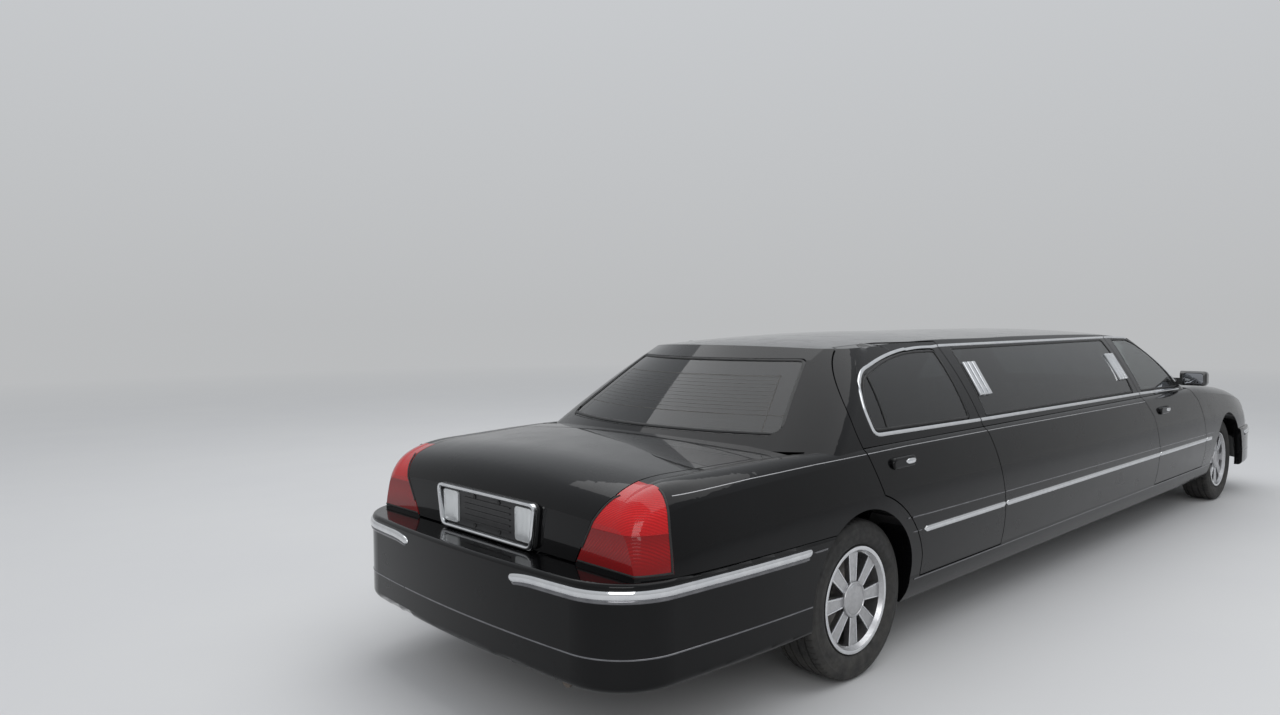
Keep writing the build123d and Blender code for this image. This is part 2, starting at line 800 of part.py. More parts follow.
# Front fenders joined by the cowl between the hood and the windshield
fender_low = common(LOWER_SHELL, whole_box(MID_FRONT_DOOR, fore(1000), SILL_TOP, HIGH))
front_fenders = cut_from(
    fender_low,
    front_door_hole,
    mirror(front_door_hole, about=Plane.XZ),
    whole_box(MID_FRONT_DOOR, fore(-920), BELT_Z - 6, HIGH),
    cabin_space,
)
front_fenders = cut_from(front_fenders, front_arch)
front_fenders = joined(front_fenders, windshield_frame, *wheel_house(FRONT_AXLE, FRONT_LINER_Y))
front_fenders = cut_from(
    front_fenders,
    hood_hole,
    whole_box(fore(100), fore(1000), LOW, FRONT_BUMPER_TOP),
    headlamp_block,
    mirror(headlamp_block, about=Plane.XZ),
    whole_box(fore(700), fore(1000), FRONT_BUMPER_TOP, HOOD_FOOT_Z, -HEADLAMP_INNER, HEADLAMP_INNER),
    *lid_wells(HOOD_HINGE),
)
front_fenders = joined(front_fenders, *lid_clevises(HOOD_HINGE))
front_fenders = mirror(with_hinge_seats(front_fenders, FRONT_HINGE_X), about=Plane.XZ)
front_fenders = with_hinge_seats(front_fenders, FRONT_HINGE_X)
save(front_fenders, "front_fenders")

# Plate surround on the lid's rear face: a raised ring round a ribbed panel
PLATE_FACE = aft(-1274) - FIT
PLATE_TOP = 876
PLATE_FOOT = DECKLID_FOOT
PLATE_HALF_TOP = 358
PLATE_HALF_FOOT = 328
PLATE_RING = 16
PLATE_CORNER = 30
PLATE_DEPTH = 24
PLATE_PANEL = 8
PLATE_RIBS = 5
PLATE_RIB_STEP = 24
PLATE_MIDDLE = (PLATE_TOP + PLATE_FOOT) / 2
PLATE_HOLE_R = 3
PLATE_HOLES = (178, 121)


def plate_outline(x, inset=0):
    """Outline of the plate surround at one station, taken in by its ring's width for the recess."""
    half_foot = PLATE_HALF_FOOT - inset
    half_top = PLATE_HALF_TOP - inset
    foot = PLATE_FOOT + inset
    top = PLATE_TOP - inset
    with BuildSketch(across(x)) as outline:
        with BuildLine():
            Polyline((-half_foot, foot), (half_foot, foot), (half_top, top), (-half_top, top), close=True)
        make_face()
        fillet(outline.vertices(), PLATE_CORNER - inset)
    return outline.sketch


plate_ring = plate_outline(PLATE_FACE)
plate_recess = plate_outline(PLATE_FACE - PLATE_PANEL, PLATE_RING)
with BuildPart() as plate_surround:
    extrude(plate_ring, amount=-PLATE_DEPTH)
    extrude(plate_recess, amount=-PLATE_DEPTH, mode=Mode.SUBTRACT)
    with BuildSketch(across(PLATE_FACE - PLATE_PANEL / 2)):
        with GridLocations(0, PLATE_RIB_STEP, 1, PLATE_RIBS):
            with Locations((0, PLATE_MIDDLE)):
                Rectangle(330, 6)
    extrude(amount=-PLATE_PANEL)
    with BuildSketch(across(PLATE_FACE)):
        with Locations((0, PLATE_MIDDLE)):
            with GridLocations(*PLATE_HOLES, 2, 2):
                Circle(PLATE_HOLE_R)
    extrude(amount=-PLATE_DEPTH, mode=Mode.SUBTRACT)
save(plate_surround.part, "plate_surround")

# Hood and decklid
hood_arm = lid_arm(HOOD_HINGE)
hood = joined(common(LOWER_SHELL, hood_space()), hood_arm, left_of(hood_arm))
save(hood, "hood")
decklid_arm = lid_arm(DECKLID_HINGE)
with BuildPart() as plate_screw_ways:
    with BuildSketch(across(PLATE_FACE - PLATE_DEPTH)):
        with Locations((0, PLATE_MIDDLE)):
            with GridLocations(*PLATE_HOLES, 2, 2):
                Circle(PLATE_HOLE_R + FIT)
    extrude(amount=2 * END_THICK)
decklid = joined(common(LOWER_SHELL, decklid_space()), decklid_arm, left_of(decklid_arm))
decklid = cut_from(decklid, plate_screw_ways.part)
save(decklid, "decklid")
headlamp_right = common(
    LOWER_SHELL,
    whole_box(HEADLAMP_SIDE + FIT, fore(1000), HEADLAMP_FOOT + FIT, HEADLAMP_TOP - FIT, -OUTER_Y, -HEADLAMP_INNER - FIT),
)
headlamps = both_sides(headlamp_right)
save(headlamps, "headlamps")

# Doors, each a thick lower box with its window frame above, a handle and two goose-neck hinge arms
HANDLE_LENGTH = 196
HANDLE_HEIGHT = 54
HANDLE_DEPTH = 46
HANDLE_STAND = 16
DOORS = {
    "rear": (REAR_DOOR, REAR_DOOR_WINDOW, REAR_HINGE_X, (aft(-100), aft(1600)), (aft(330), 921)),
    "front": (FRONT_DOOR, FRONT_DOOR_WINDOW, FRONT_HINGE_X, (fore(-2200), fore(-500)), (fore(-1625), 893)),
}


def handle(x, z):
    """Oval pull handle standing out of the door's skin."""
    with BuildPart() as pull:
        with BuildSketch(Plane.XZ.offset(skin_y(z) + HANDLE_STAND - HANDLE_DEPTH)):
            with Locations((x, z)):
                SlotOverall(HANDLE_LENGTH, HANDLE_HEIGHT)
        extrude(amount=HANDLE_DEPTH)
        fillet(pull.faces().sort_by(Axis.Y)[0].edges(), HANDLE_STAND * 0.7)
    return pull.part


for name, (outline, window, hinge_x, span, grip) in DOORS.items():
    prism = side_prism(side_outline(**outline))
    lower_half = common(LOWER_SHELL, prism, whole_box(*span, SILL_TOP, BELT_Z - 6, -OUTER_Y, 0))
    lower_half = cut_from(lower_half, cabin_space)
    upper_half = common(HOUSE_SHELL, prism, whole_box(*span, BELT_Z - 6, HIGH, -OUTER_Y, 0))
    lower_half = cut_from(lower_half, swing_room(outline, hinge_x))
    arms = [hinge_arm(hinge_x, z) for z in HINGE_HEIGHTS]
    door = joined(lower_half, upper_half, handle(*grip), *arms)
    door = cut_from(
        door,
        side_prism(side_outline(**window)),
        whole_box(*span, ROOF_UNDER_Z - SHUT_GAP, HIGH, -ROOF_HALF - SHUT_GAP, 0),
    )
    glass = pane(window)
    save(door, f"door_{name}_right")
    save(glass, f"door_glass_{name}_right")
    save(left_of(door), f"door_{name}_left")
    save(left_of(glass), f"door_glass_{name}_left")
    if name == "front":
        front_door = door

# Door mirrors on the front doors' corners
MIRROR_X = fore(-1030)
MIRROR_Z = 1096
MIRROR_INNER_Y = 905
MIRROR_OUTER_Y = 1085
MIRROR_FOOT_DEPTH = 69
with BuildPart() as mirror_foot:
    with BuildSketch(Plane.XZ.offset(MIRROR_INNER_Y - 45)):
        with BuildLine():
            Polyline((MIRROR_X - 78, 1048), (MIRROR_X - 15, 1048), (MIRROR_X - 22, 1074), (MIRROR_X - 75, 1100), close=True)
        make_face()
    extrude(amount=MIRROR_FOOT_DEPTH)
with BuildPart() as mirror_right:
    with BuildSketch(Plane.XZ.offset(MIRROR_INNER_Y)):
        with Locations((MIRROR_X, MIRROR_Z)):
            RectangleRounded(86, 112, 30)
    extrude(amount=MIRROR_OUTER_Y - MIRROR_INNER_Y)
    fillet(mirror_right.faces().sort_by(Axis.Y)[0].edges(), 24)
    add(common(mirror_foot.part, side_prism(side_outline(**FRONT_DOOR))))
    add(front_door, mode=Mode.SUBTRACT)
save(mirror_right.part, "door_mirror_right")
save(left_of(mirror_right.part), "door_mirror_left")

# Floor between the axles, with the sills under the doors and a tunnel for the driveshaft
TUNNEL_HALF = 118
TUNNEL_TOP = 452
TUNNEL_THICK = 10
SHAFT_WAY = 74
FLOOR_REAR = aft(790)
FLOOR_FRONT = fore(-560)
floor_low = common(LOWER_SHELL, whole_box(aft(250), fore(-250), LOW, SILL_TOP))
floor_low = cut_from(
    floor_low,
    rear_arch,
    front_arch,
    whole_box(FLOOR_REAR, FLOOR_FRONT, LOW, SILL_TOP, -TUNNEL_HALF, TUNNEL_HALF),
    whole_box(aft(200), FLOOR_REAR, LOW, SILL_TOP, -800, 800),
    whole_box(FLOOR_FRONT, fore(-200), LOW, SILL_TOP, -800, 800),
)
with BuildPart() as tunnel:
    with BuildSketch(across(FLOOR_REAR)) as tunnel_face:
        with BuildLine():
            Polyline(
                (-TUNNEL_HALF, SILL_BOTTOM), (-TUNNEL_HALF * 0.72, TUNNEL_TOP), (TUNNEL_HALF * 0.72, TUNNEL_TOP),
                (TUNNEL_HALF, SILL_BOTTOM), close=True,
            )
        make_face()
        fillet(tunnel_face.vertices().group_by(Axis.Z)[-1], 40)
    extrude(amount=FLOOR_FRONT - FLOOR_REAR)
    with BuildSketch(across(FLOOR_REAR)) as tunnel_hollow:
        with BuildLine():
            Polyline(
                (-TUNNEL_HALF + TUNNEL_THICK, SILL_BOTTOM - 1), (-TUNNEL_HALF * 0.72 + TUNNEL_THICK, TUNNEL_TOP - TUNNEL_THICK),
                (TUNNEL_HALF * 0.72 - TUNNEL_THICK, TUNNEL_TOP - TUNNEL_THICK), (TUNNEL_HALF - TUNNEL_THICK, SILL_BOTTOM - 1),
                close=True,
            )
        make_face()
        fillet(tunnel_hollow.vertices().group_by(Axis.Z)[-1], 32)
    extrude(amount=FLOOR_FRONT - FLOOR_REAR, mode=Mode.SUBTRACT)


def sheet(points, thick, half_width):
    """Pressed sheet across the car from its side view, as thick as given."""
    lower = [(x, z - thick) for x, z in points]
    with BuildPart() as pressed:
        with BuildSketch(Plane.XZ.offset(-half_width)):
            with BuildLine():
                Polyline(*points, *reversed(lower), close=True)
            make_face()
        extrude(amount=2 * half_width)
    return pressed.part


REAR_SHEET_HALF = 688
SHEET_THICK = 22
TRUNK_FLOOR_Z = 452
TRUNK_REAR = aft(-1228)
KICK_Z = 610
KICK_FRONT = aft(340)
FLOOR_Z = SILL_BOTTOM + FLOOR_THICK
WIDE_SHEET_END = aft(430)
WIDE_SHEET_HALF = 790
wide_sheet_z = KICK_Z - (WIDE_SHEET_END - KICK_FRONT) / (aft(760) - KICK_FRONT) * (KICK_Z - FLOOR_Z)
rear_sheet = sheet(
    [
        (aft(800), FLOOR_Z),
        (aft(760), FLOOR_Z),
        (KICK_FRONT, KICK_Z),
        (aft(-430), KICK_Z),
        (aft(-500), TRUNK_FLOOR_Z),
        (TRUNK_REAR, TRUNK_FLOOR_Z),
    ],
    SHEET_THICK,
    REAR_SHEET_HALF,
)
wide_sheet = sheet([(aft(800), FLOOR_Z), (aft(760), FLOOR_Z), (WIDE_SHEET_END, wide_sheet_z)], SHEET_THICK, WIDE_SHEET_HALF)
trunk_wall = whole_box(TRUNK_REAR - SHEET_THICK, TRUNK_REAR, TRUNK_FLOOR_Z - SHEET_THICK, BUMPER_TOP, -800, 800)
trunk_sides = [
    whole_box(TRUNK_REAR, aft(-440), TRUNK_FLOOR_Z - SHEET_THICK, TRUNK_FLOOR_Z, low, high)
    for low, high in ((-885, -680), (680, 885))
]
firewall = whole_box(FLOOR_FRONT, FLOOR_FRONT + 14, SILL_BOTTOM, 940, -WIDE_SHEET_HALF, WIDE_SHEET_HALF)
shaft_ways = [
    whole_box(x_low, x_high, LOW, TUNNEL_TOP - TUNNEL_THICK, -SHAFT_WAY, SHAFT_WAY)
    for x_low, x_high in ((aft(580), aft(820)), (FLOOR_FRONT - 5, FLOOR_FRONT + 20))
]
floor_pan = cut_from(joined(floor_low, tunnel.part, rear_sheet, wide_sheet, trunk_wall, *trunk_sides, firewall), *shaft_ways)
save(floor_pan, "floor_pan")

# Ladder frame under the floor, kicked up over the rear axle, with its crossmembers
RAIL_DEPTH = 76
RAIL_INNER_Y = 400
RAIL_OUTER_Y = 476
RAIL_TOP = [
    (fore(760), 470),
    (fore(330), 470),
    (fore(-330), SILL_BOTTOM),
    (aft(745), SILL_BOTTOM),
    (aft(340), 562),
    (aft(-395), 562),
    (aft(-470), TRUNK_FLOOR_Z - SHEET_THICK),
    (aft(-1228), TRUNK_FLOOR_Z - SHEET_THICK),
]
CROSSMEMBERS = [
    (fore(720), 470),
    (fore(-600), SILL_BOTTOM),
    (fore(-1700), SILL_BOTTOM),
    (fore(-2800), SILL_BOTTOM),
    (aft(1500), SILL_BOTTOM),
    (aft(820), SILL_BOTTOM),
    (aft(-340), 562),
    (aft(-1190), TRUNK_FLOOR_Z - SHEET_THICK),
]
CROSS_WIDTH = 90
CROSS_DEPTH = 60
with BuildPart() as rail:
    with BuildSketch(Plane.XZ.offset(RAIL_INNER_Y)):
        with BuildLine():
            Polyline(*RAIL_TOP, *[(x, z - RAIL_DEPTH) for x, z in reversed(RAIL_TOP)], close=True)
        make_face()
    extrude(amount=RAIL_OUTER_Y - RAIL_INNER_Y)
crossmembers = [
    whole_box(x - CROSS_WIDTH / 2, x + CROSS_WIDTH / 2, z - CROSS_DEPTH, z, -RAIL_INNER_Y + FIT, RAIL_INNER_Y - FIT)
    for x, z in CROSSMEMBERS
]
chassis_frame = cut_from(both_sides(rail.part), floor_pan)
crossmembers = cut_from(joined(*crossmembers), floor_pan)
save(chassis_frame, "chassis_frame")
save(crossmembers, "crossmembers")


def bumper(outline, foot, top):
    """Wrap-round bumper cover from half of its plan outline, hollow inside, with a shelf on top."""
    side_end, side_corner, corner_end, centre = outline
    twin_end = (corner_end[0], -corner_end[1])
    twin_corner = (side_corner[0], -side_corner[1])
    with BuildSketch(Plane.XY.offset(foot)) as plan:
        with BuildLine():
            face_arc = ThreePointArc(twin_end, centre, corner_end)
            right = TangentArc(corner_end, side_corner, tangent=face_arc % 1)
            TangentArc(side_corner, side_end, tangent=right % 1)
            left = TangentArc(twin_end, twin_corner, tangent=(face_arc % 0) * -1)
            TangentArc(twin_corner, (side_end[0], -side_end[1]), tangent=left % 1)
            Line((side_end[0], -side_end[1]), side_end)
        make_face()
    with BuildSketch(Plane.XY.offset(foot - 1)) as inside:
        add(plan.sketch.moved(Location((0, 0, -1))))
        offset(amount=-BUMPER_THICK, kind=Kind.INTERSECTION)
    with BuildPart() as cover:
        extrude(plan.sketch, amount=top - foot)
        fillet(cover.edges().group_by(Axis.Z)[0].filter_by(GeomType.CIRCLE), BUMPER_FOOT_ROUND)
        fillet(cover.edges().group_by(Axis.Z)[-1].filter_by(GeomType.CIRCLE), BUMPER_TOP_ROUND)
        extrude(inside.sketch, amount=top - foot - BUMPER_SHELF, mode=Mode.SUBTRACT)
    return cover.part


BUMPER_SHELF = 26
BUMPER_FOOT_ROUND = 34
BUMPER_TOP_ROUND = 16
REAR_BUMPER = [(aft(-180), 987), (aft(-1155), 955), (aft(-1415), 700), (aft(-REAR_OVERHANG), 0)]
FRONT_BUMPER = [(fore(180), 986), (fore(720), 955), (fore(995), 660), (fore(FRONT_OVERHANG), 0)]
rear_bumper = cut_from(
    bumper(REAR_BUMPER, BUMPER_BOTTOM, BUMPER_TOP),
    rear_arch,
    whole_box(TRUNK_REAR - SHEET_THICK, aft(0), LOW, HIGH, -895, 895),
)
save(rear_bumper, "rear_bumper")
front_bumper = cut_from(
    bumper(FRONT_BUMPER, FRONT_BUMPER_BOTTOM, FRONT_BUMPER_TOP),
    front_arch,
    whole_box(fore(0), fore(812), LOW, HIGH, -880, 880),
)
save(front_bumper, "front_bumper")

# Grille: a frame with upright bars, set between the headlamps
GRILLE_HALF = HEADLAMP_INNER - FIT
GRILLE_FOOT = FRONT_BUMPER_TOP + FIT
GRILLE_TOP = HOOD_FOOT_Z - SHUT_GAP
GRILLE_BACK = fore(816)
GRILLE_DEPTH = 70
GRILLE_RIM = 18
GRILLE_BARS = 17
GRILLE_BAR_W = 9
with BuildPart() as grille:
    with BuildSketch(across(GRILLE_BACK)):
        with Locations((0, (GRILLE_FOOT + GRILLE_TOP) / 2)):
            Rectangle(2 * GRILLE_HALF, GRILLE_TOP - GRILLE_FOOT)
            Rectangle(2 * (GRILLE_HALF - GRILLE_RIM), GRILLE_TOP - GRILLE_FOOT - 2 * GRILLE_RIM, mode=Mode.SUBTRACT)
    extrude(amount=GRILLE_DEPTH)
    with BuildSketch(across(GRILLE_BACK + 14)):
        with GridLocations(2 * (GRILLE_HALF - GRILLE_RIM) / (GRILLE_BARS + 1), 0, GRILLE_BARS, 1):
            with Locations((0, (GRILLE_FOOT + GRILLE_TOP) / 2)):
                Rectangle(GRILLE_BAR_W, GRILLE_TOP - GRILLE_FOOT - GRILLE_RIM)
    extrude(amount=GRILLE_DEPTH - 24)
    with BuildSketch(across(GRILLE_BACK)):
        with Locations((0, (GRILLE_FOOT + GRILLE_TOP) / 2)):
            Rectangle(2 * GRILLE_HALF - GRILLE_RIM, GRILLE_TOP - GRILLE_FOOT - GRILLE_RIM)
    extrude(amount=8)
save(grille.part, "grille")

# Engine block, at its place over the front crossmember
ENGINE = (fore(-520), fore(230), 306, 800)
engine_block = whole_box(*ENGINE, -270, 270)
save(engine_block, "engine_block")

# Driveline: driveshaft, rear axle tube with its differential, trailing arms and coil springs
SHAFT_R = 38
AXLE_TUBE_R = 44
DIFF_R = 128
STUB_R = 28
HUB_PLAY = 0.05
STUB_REACH = 30
REAR_HALF_TRACK = REAR_TRACK / 2
FRONT_HALF_TRACK = FRONT_TRACK / 2
driveshaft = lengthwise(aft(100), ENGINE[0] - FIT, 0, TYRE_RADIUS, SHAFT_R)
with BuildPart() as differential:
    with BuildSketch(across(REAR_AXLE - DIFF_R)):
        with Locations((0, TYRE_RADIUS)):
            Circle(DIFF_R * 0.7)
    with BuildSketch(across(REAR_AXLE)):
        with Locations((0, TYRE_RADIUS)):
            Circle(DIFF_R)
    with BuildSketch(across(REAR_AXLE + DIFF_R * 1.3)):
        with Locations((0, TYRE_RADIUS)):
            Circle(SHAFT_R * 1.4)
    loft(ruled=True)
axle_tube = crosswise(REAR_AXLE, -REAR_HALF_TRACK + 75, REAR_HALF_TRACK - 75, TYRE_RADIUS, AXLE_TUBE_R)
stubs = crosswise(REAR_AXLE, -REAR_HALF_TRACK - STUB_REACH, REAR_HALF_TRACK + STUB_REACH, TYRE_RADIUS, STUB_R)
SPRING_Y = (RAIL_INNER_Y + RAIL_OUTER_Y) / 2
RAIL_UNDER = RAIL_TOP[5][1] - RAIL_DEPTH
spring_right = upright(REAR_AXLE, -SPRING_Y, TYRE_RADIUS, RAIL_UNDER - TYRE_RADIUS - FIT, 52)
ARM_THICK = 44
ARM_Y = RAIL_INNER_Y - FIT - ARM_THICK / 2
ARM_END_Z = SILL_BOTTOM - 10
ARM_END = aft(820) - CROSS_WIDTH / 2 - FIT
arm_side = [(aft(-20), 372), (aft(700), ARM_END_Z), (ARM_END, ARM_END_Z)]
arm_right = sheet(arm_side, ARM_THICK, ARM_THICK / 2).moved(Location((0, -ARM_Y, 0)))
axle_parts = [differential.part, axle_tube, stubs, driveshaft]
for piece in (spring_right, arm_right):
    axle_parts += [piece, left_of(piece)]
rear_axle = joined(*axle_parts)
save(rear_axle, "rear_axle")

# Front suspension: crossmember, wishbones and king pins that carry the knuckles
KING_PIN_Y = 690
KING_PIN_R = 12
KNUCKLE_LOW = 262
KNUCKLE_HIGH = 440
WISHBONE_T = 26
front_cross = whole_box(fore(-70), fore(70), 238, 306, -RAIL_OUTER_Y, RAIL_OUTER_Y)
tower = whole_box(fore(-60), fore(60), 238, 394, -RAIL_OUTER_Y, -RAIL_INNER_Y + 60)


def wishbone(z_low):
    """A-shaped arm from the frame out to the king pin."""
    with BuildPart() as arm:
        with BuildSketch(Plane.XY.offset(z_low)):
            with BuildLine():
                Polyline(
                    (fore(-150), -RAIL_INNER_Y - 20), (fore(150), -RAIL_INNER_Y - 20), (fore(150), -RAIL_INNER_Y - 60),
                    (fore(30), -KING_PIN_Y - 20), (fore(-30), -KING_PIN_Y - 20), (fore(-150), -RAIL_INNER_Y - 60), close=True,
                )
            make_face()
            with Locations((FRONT_AXLE, -545)):
                Ellipse(34, 60, mode=Mode.SUBTRACT)
        extrude(amount=WISHBONE_T)
    return arm.part


lower_arm = wishbone(KNUCKLE_LOW - WISHBONE_T - 5)
upper_arm = wishbone(KNUCKLE_HIGH + 5)
king_pin = upright(FRONT_AXLE, -KING_PIN_Y, KNUCKLE_LOW - 10, KNUCKLE_HIGH - KNUCKLE_LOW + 20, KING_PIN_R)
front_parts = [front_cross]
for piece in (tower, lower_arm, upper_arm, king_pin):
    front_parts += [piece, left_of(piece)]
front_suspension = cut_from(joined(*front_parts), chassis_frame)
save(front_suspension, "front_suspension")
knuckle = joined(
    upright(FRONT_AXLE, -KING_PIN_Y, KNUCKLE_LOW, KNUCKLE_HIGH - KNUCKLE_LOW, 30),
    crosswise(FRONT_AXLE, -FRONT_HALF_TRACK - STUB_REACH, -KING_PIN_Y - 10, TYRE_RADIUS, STUB_R),
    crosswise(FRONT_AXLE, -FRONT_HALF_TRACK + 45, -KING_PIN_Y - 20, TYRE_RADIUS, 62),
    whole_box(fore(-120), fore(-10), 300, 330, -KING_PIN_Y - 14, -KING_PIN_Y + 14),
)
knuckle_right = cut_from(
    knuckle,
    upright(FRONT_AXLE, -KING_PIN_Y, LOW, 600, KING_PIN_R + HUB_PLAY),
)
save(knuckle_right, "knuckle_right")
save(left_of(knuckle_right), "knuckle_left")

# Wheels: an eight-spoke rim and a plain round-shouldered tyre at each corner
RIM_HALF = 98
RIM_WALL = 9
HUB_R = 62
HUB_BACK = 4
HUB_CAP_Y = 86
SPOKE_FACE_Y = 78
SPOKE_THICK = 26


def turned(axle_x, centre_y, points):
    """Round piece about a wheel's axis, from half of its section: distance outboard and radius."""
    wheel = Plane(origin=(axle_x, -centre_y, TYRE_RADIUS), x_dir=(0, -1, 0), z_dir=(1, 0, 0))
    with BuildPart() as ring:
        with BuildSketch(wheel):
            with BuildLine():
                Polyline(*[(out, -radius) for out, radius in points], close=True)
            make_face()
        revolve(axis=Axis((axle_x, -centre_y, TYRE_RADIUS), (0, 1, 0)))
    return ring.part


def rim(axle_x, centre_y):
    """Right-hand rim: barrel with lips, hub, flat spokes and a round cap."""
    barrel = turned(axle_x, centre_y, [
        (-RIM_HALF, RIM_RADIUS - RIM_WALL), (-RIM_HALF, RIM_RADIUS + RIM_LIP), (-RIM_HALF + 8, RIM_RADIUS + RIM_LIP),
        (-RIM_HALF + 10, RIM_RADIUS), (RIM_HALF - 10, RIM_RADIUS), (RIM_HALF - 8, RIM_RADIUS + RIM_LIP),
        (RIM_HALF, RIM_RADIUS + RIM_LIP), (RIM_HALF, RIM_RADIUS - RIM_WALL * 0.6), (RIM_HALF - 18, RIM_RADIUS - 2 * RIM_WALL),
        (20, RIM_RADIUS - 2.4 * RIM_WALL), (-40, RIM_RADIUS - RIM_WALL),
    ])
    hub = turned(axle_x, centre_y, [
        (HUB_BACK, STUB_R + HUB_PLAY), (HUB_BACK, HUB_R), (SPOKE_FACE_Y, HUB_R), (HUB_CAP_Y, HUB_R - 10), (HUB_CAP_Y, 0.01),
        (STUB_REACH + 6, 0.01), (STUB_REACH + 6, STUB_R + HUB_PLAY),
    ])
    with BuildPart() as wheel:
        add(barrel)
        add(hub)
        with BuildSketch(Plane.XZ.offset(centre_y + SPOKE_FACE_Y - SPOKE_THICK)):
            with Locations((axle_x, TYRE_RADIUS)):
                with PolarLocations(0, SPOKES):
                    Polygon(
                        (HUB_R - 14, -SPOKE_WIDTH * 0.36), (RIM_RADIUS - RIM_WALL, -SPOKE_WIDTH * 0.56),
                        (RIM_RADIUS - RIM_WALL, SPOKE_WIDTH * 0.56), (HUB_R - 14, SPOKE_WIDTH * 0.36), align=None,
                    )
        extrude(amount=SPOKE_THICK)
    return wheel.part


def tyre(axle_x, centre_y):
    """Right-hand tyre with bulged walls and rounded shoulders."""
    half = TYRE_WIDTH / 2
    bead = RIM_RADIUS + FIT
    return turned(axle_x, centre_y, [
        (-RIM_HALF + 12, bead), (-RIM_HALF + 11, bead + RIM_LIP + 4), (-half + 4, bead + 34), (-half, TYRE_RADIUS - 74),
        (-half + 2, TYRE_RADIUS - 48), (-half + 9, TYRE_RADIUS - 22), (-half + 24, TYRE_RADIUS - 5), (-half + 42, TYRE_RADIUS),
        (half - 42, TYRE_RADIUS), (half - 24, TYRE_RADIUS - 5), (half - 9, TYRE_RADIUS - 22), (half - 2, TYRE_RADIUS - 48),
        (half, TYRE_RADIUS - 74), (half - 4, bead + 34), (RIM_HALF - 11, bead + RIM_LIP + 4), (RIM_HALF - 12, bead),
    ])


for end, axle_x, centre_y in (("rear", REAR_AXLE, REAR_HALF_TRACK), ("front", FRONT_AXLE, FRONT_HALF_TRACK)):
    rim_right = rim(axle_x, centre_y)
    tyre_right = tyre(axle_x, centre_y)
    save(rim_right, f"rim_{end}_right")
    save(tyre_right, f"tyre_{end}_right")
    save(left_of(rim_right), f"rim_{end}_left")
    save(left_of(tyre_right), f"tyre_{end}_left")

# Exhaust from the engine back past the axle to a tailpipe under the right-hand end of the bumper
PIPE_R = 27
PIPE_Y = -322
TAIL_PIPE_Y = -572
MUFFLER_R = 88
with BuildPart() as exhaust:
    with BuildLine() as route:
        FilletPolyline(
            (fore(-640), PIPE_Y, 150), (aft(560), PIPE_Y, 150), (aft(330), PIPE_Y, 452), (aft(-240), PIPE_Y, 452),
            (aft(-470), TAIL_PIPE_Y, 330), (aft(-1000), TAIL_PIPE_Y, 290), (aft(-1330), TAIL_PIPE_Y, 268),
            radius=90,
        )
    with BuildSketch(Plane(origin=(fore(-640), PIPE_Y, 150), z_dir=(-1, 0, 0))):
        Circle(PIPE_R)
    sweep()
muffler = lengthwise(aft(-950), aft(-560), TAIL_PIPE_Y, 312, MUFFLER_R)
exhaust_system = joined(exhaust.part, muffler)
save(exhaust_system, "exhaust_system")

# Fuel tank under the trunk floor
fuel_tank = whole_box(aft(-1080), aft(-560), 300, TRUNK_FLOOR_Z - SHEET_THICK - FIT, -280, 390)
save(fuel_tank, "fuel_tank")

# Dashboard on the firewall, with the steering column and wheel on its left
DASH_HALF = 770
with BuildPart() as dash:
    with BuildSketch(Plane.XZ.offset(-DASH_HALF)) as dash_side:
        with BuildLine():
            Polyline(
                (fore(-560) - FIT, 640), (fore(-560) - FIT, 880), (fore(-800), 890), (fore(-815), 1003), (fore(-1120), 985),
                (fore(-1185), 900), (fore(-1150), 700), (fore(-1050), 640), close=True,
            )
        make_face()
        fillet(dash_side.vertices().sort_by(Axis.X)[:4], 24)
    extrude(amount=2 * DASH_HALF)
STEERING_Y = 370
STEERING_X = fore(-1330)
STEERING_Z = 850
STEERING_R = 185
STEERING_GRIP_R = 14
STEERING_RAKE = 25
COLUMN_R = 32
COLUMN_LENGTH = 280
rake = math.radians(STEERING_RAKE)
steering_plane = Plane(
    origin=(STEERING_X, STEERING_Y, STEERING_Z), x_dir=(0, 1, 0), z_dir=(-math.cos(rake), 0, math.sin(rake))
)
with BuildPart() as steering:
    with BuildSketch(Plane(steering_plane.origin, x_dir=steering_plane.x_dir, z_dir=steering_plane.y_dir)):
        with Locations((STEERING_R, 0)):
            Circle(STEERING_GRIP_R)
    revolve(axis=Axis(steering_plane.origin, steering_plane.z_dir))
    with BuildSketch(steering_plane.offset(-STEERING_GRIP_R / 2)):
        Circle(COLUMN_R * 1.8)
        with PolarLocations(STEERING_R / 2 - 2, 3, 90):
            Rectangle(STEERING_R, 2 * STEERING_GRIP_R)
    extrude(amount=STEERING_GRIP_R)
    with BuildSketch(steering_plane):
        Circle(COLUMN_R)
    extrude(amount=-COLUMN_LENGTH)
dashboard = joined(dash.part, steering.part)
save(dashboard, "dashboard")


def cushion(side_points, y_low, y_high, rounding):
    """Upholstered block from its side view, rounded all round."""
    with BuildPart() as block:
        with BuildSketch(Plane.XZ.offset(-y_high)) as profile:
            with BuildLine():
                Polyline(*side_points, close=True)
            make_face()
            fillet(profile.vertices().sort_by(Axis.Y)[2:], rounding)
        extrude(amount=y_high - y_low)
        fillet(block.faces().filter_by(Axis.Y).edges(), rounding * 0.4)
    return block.part


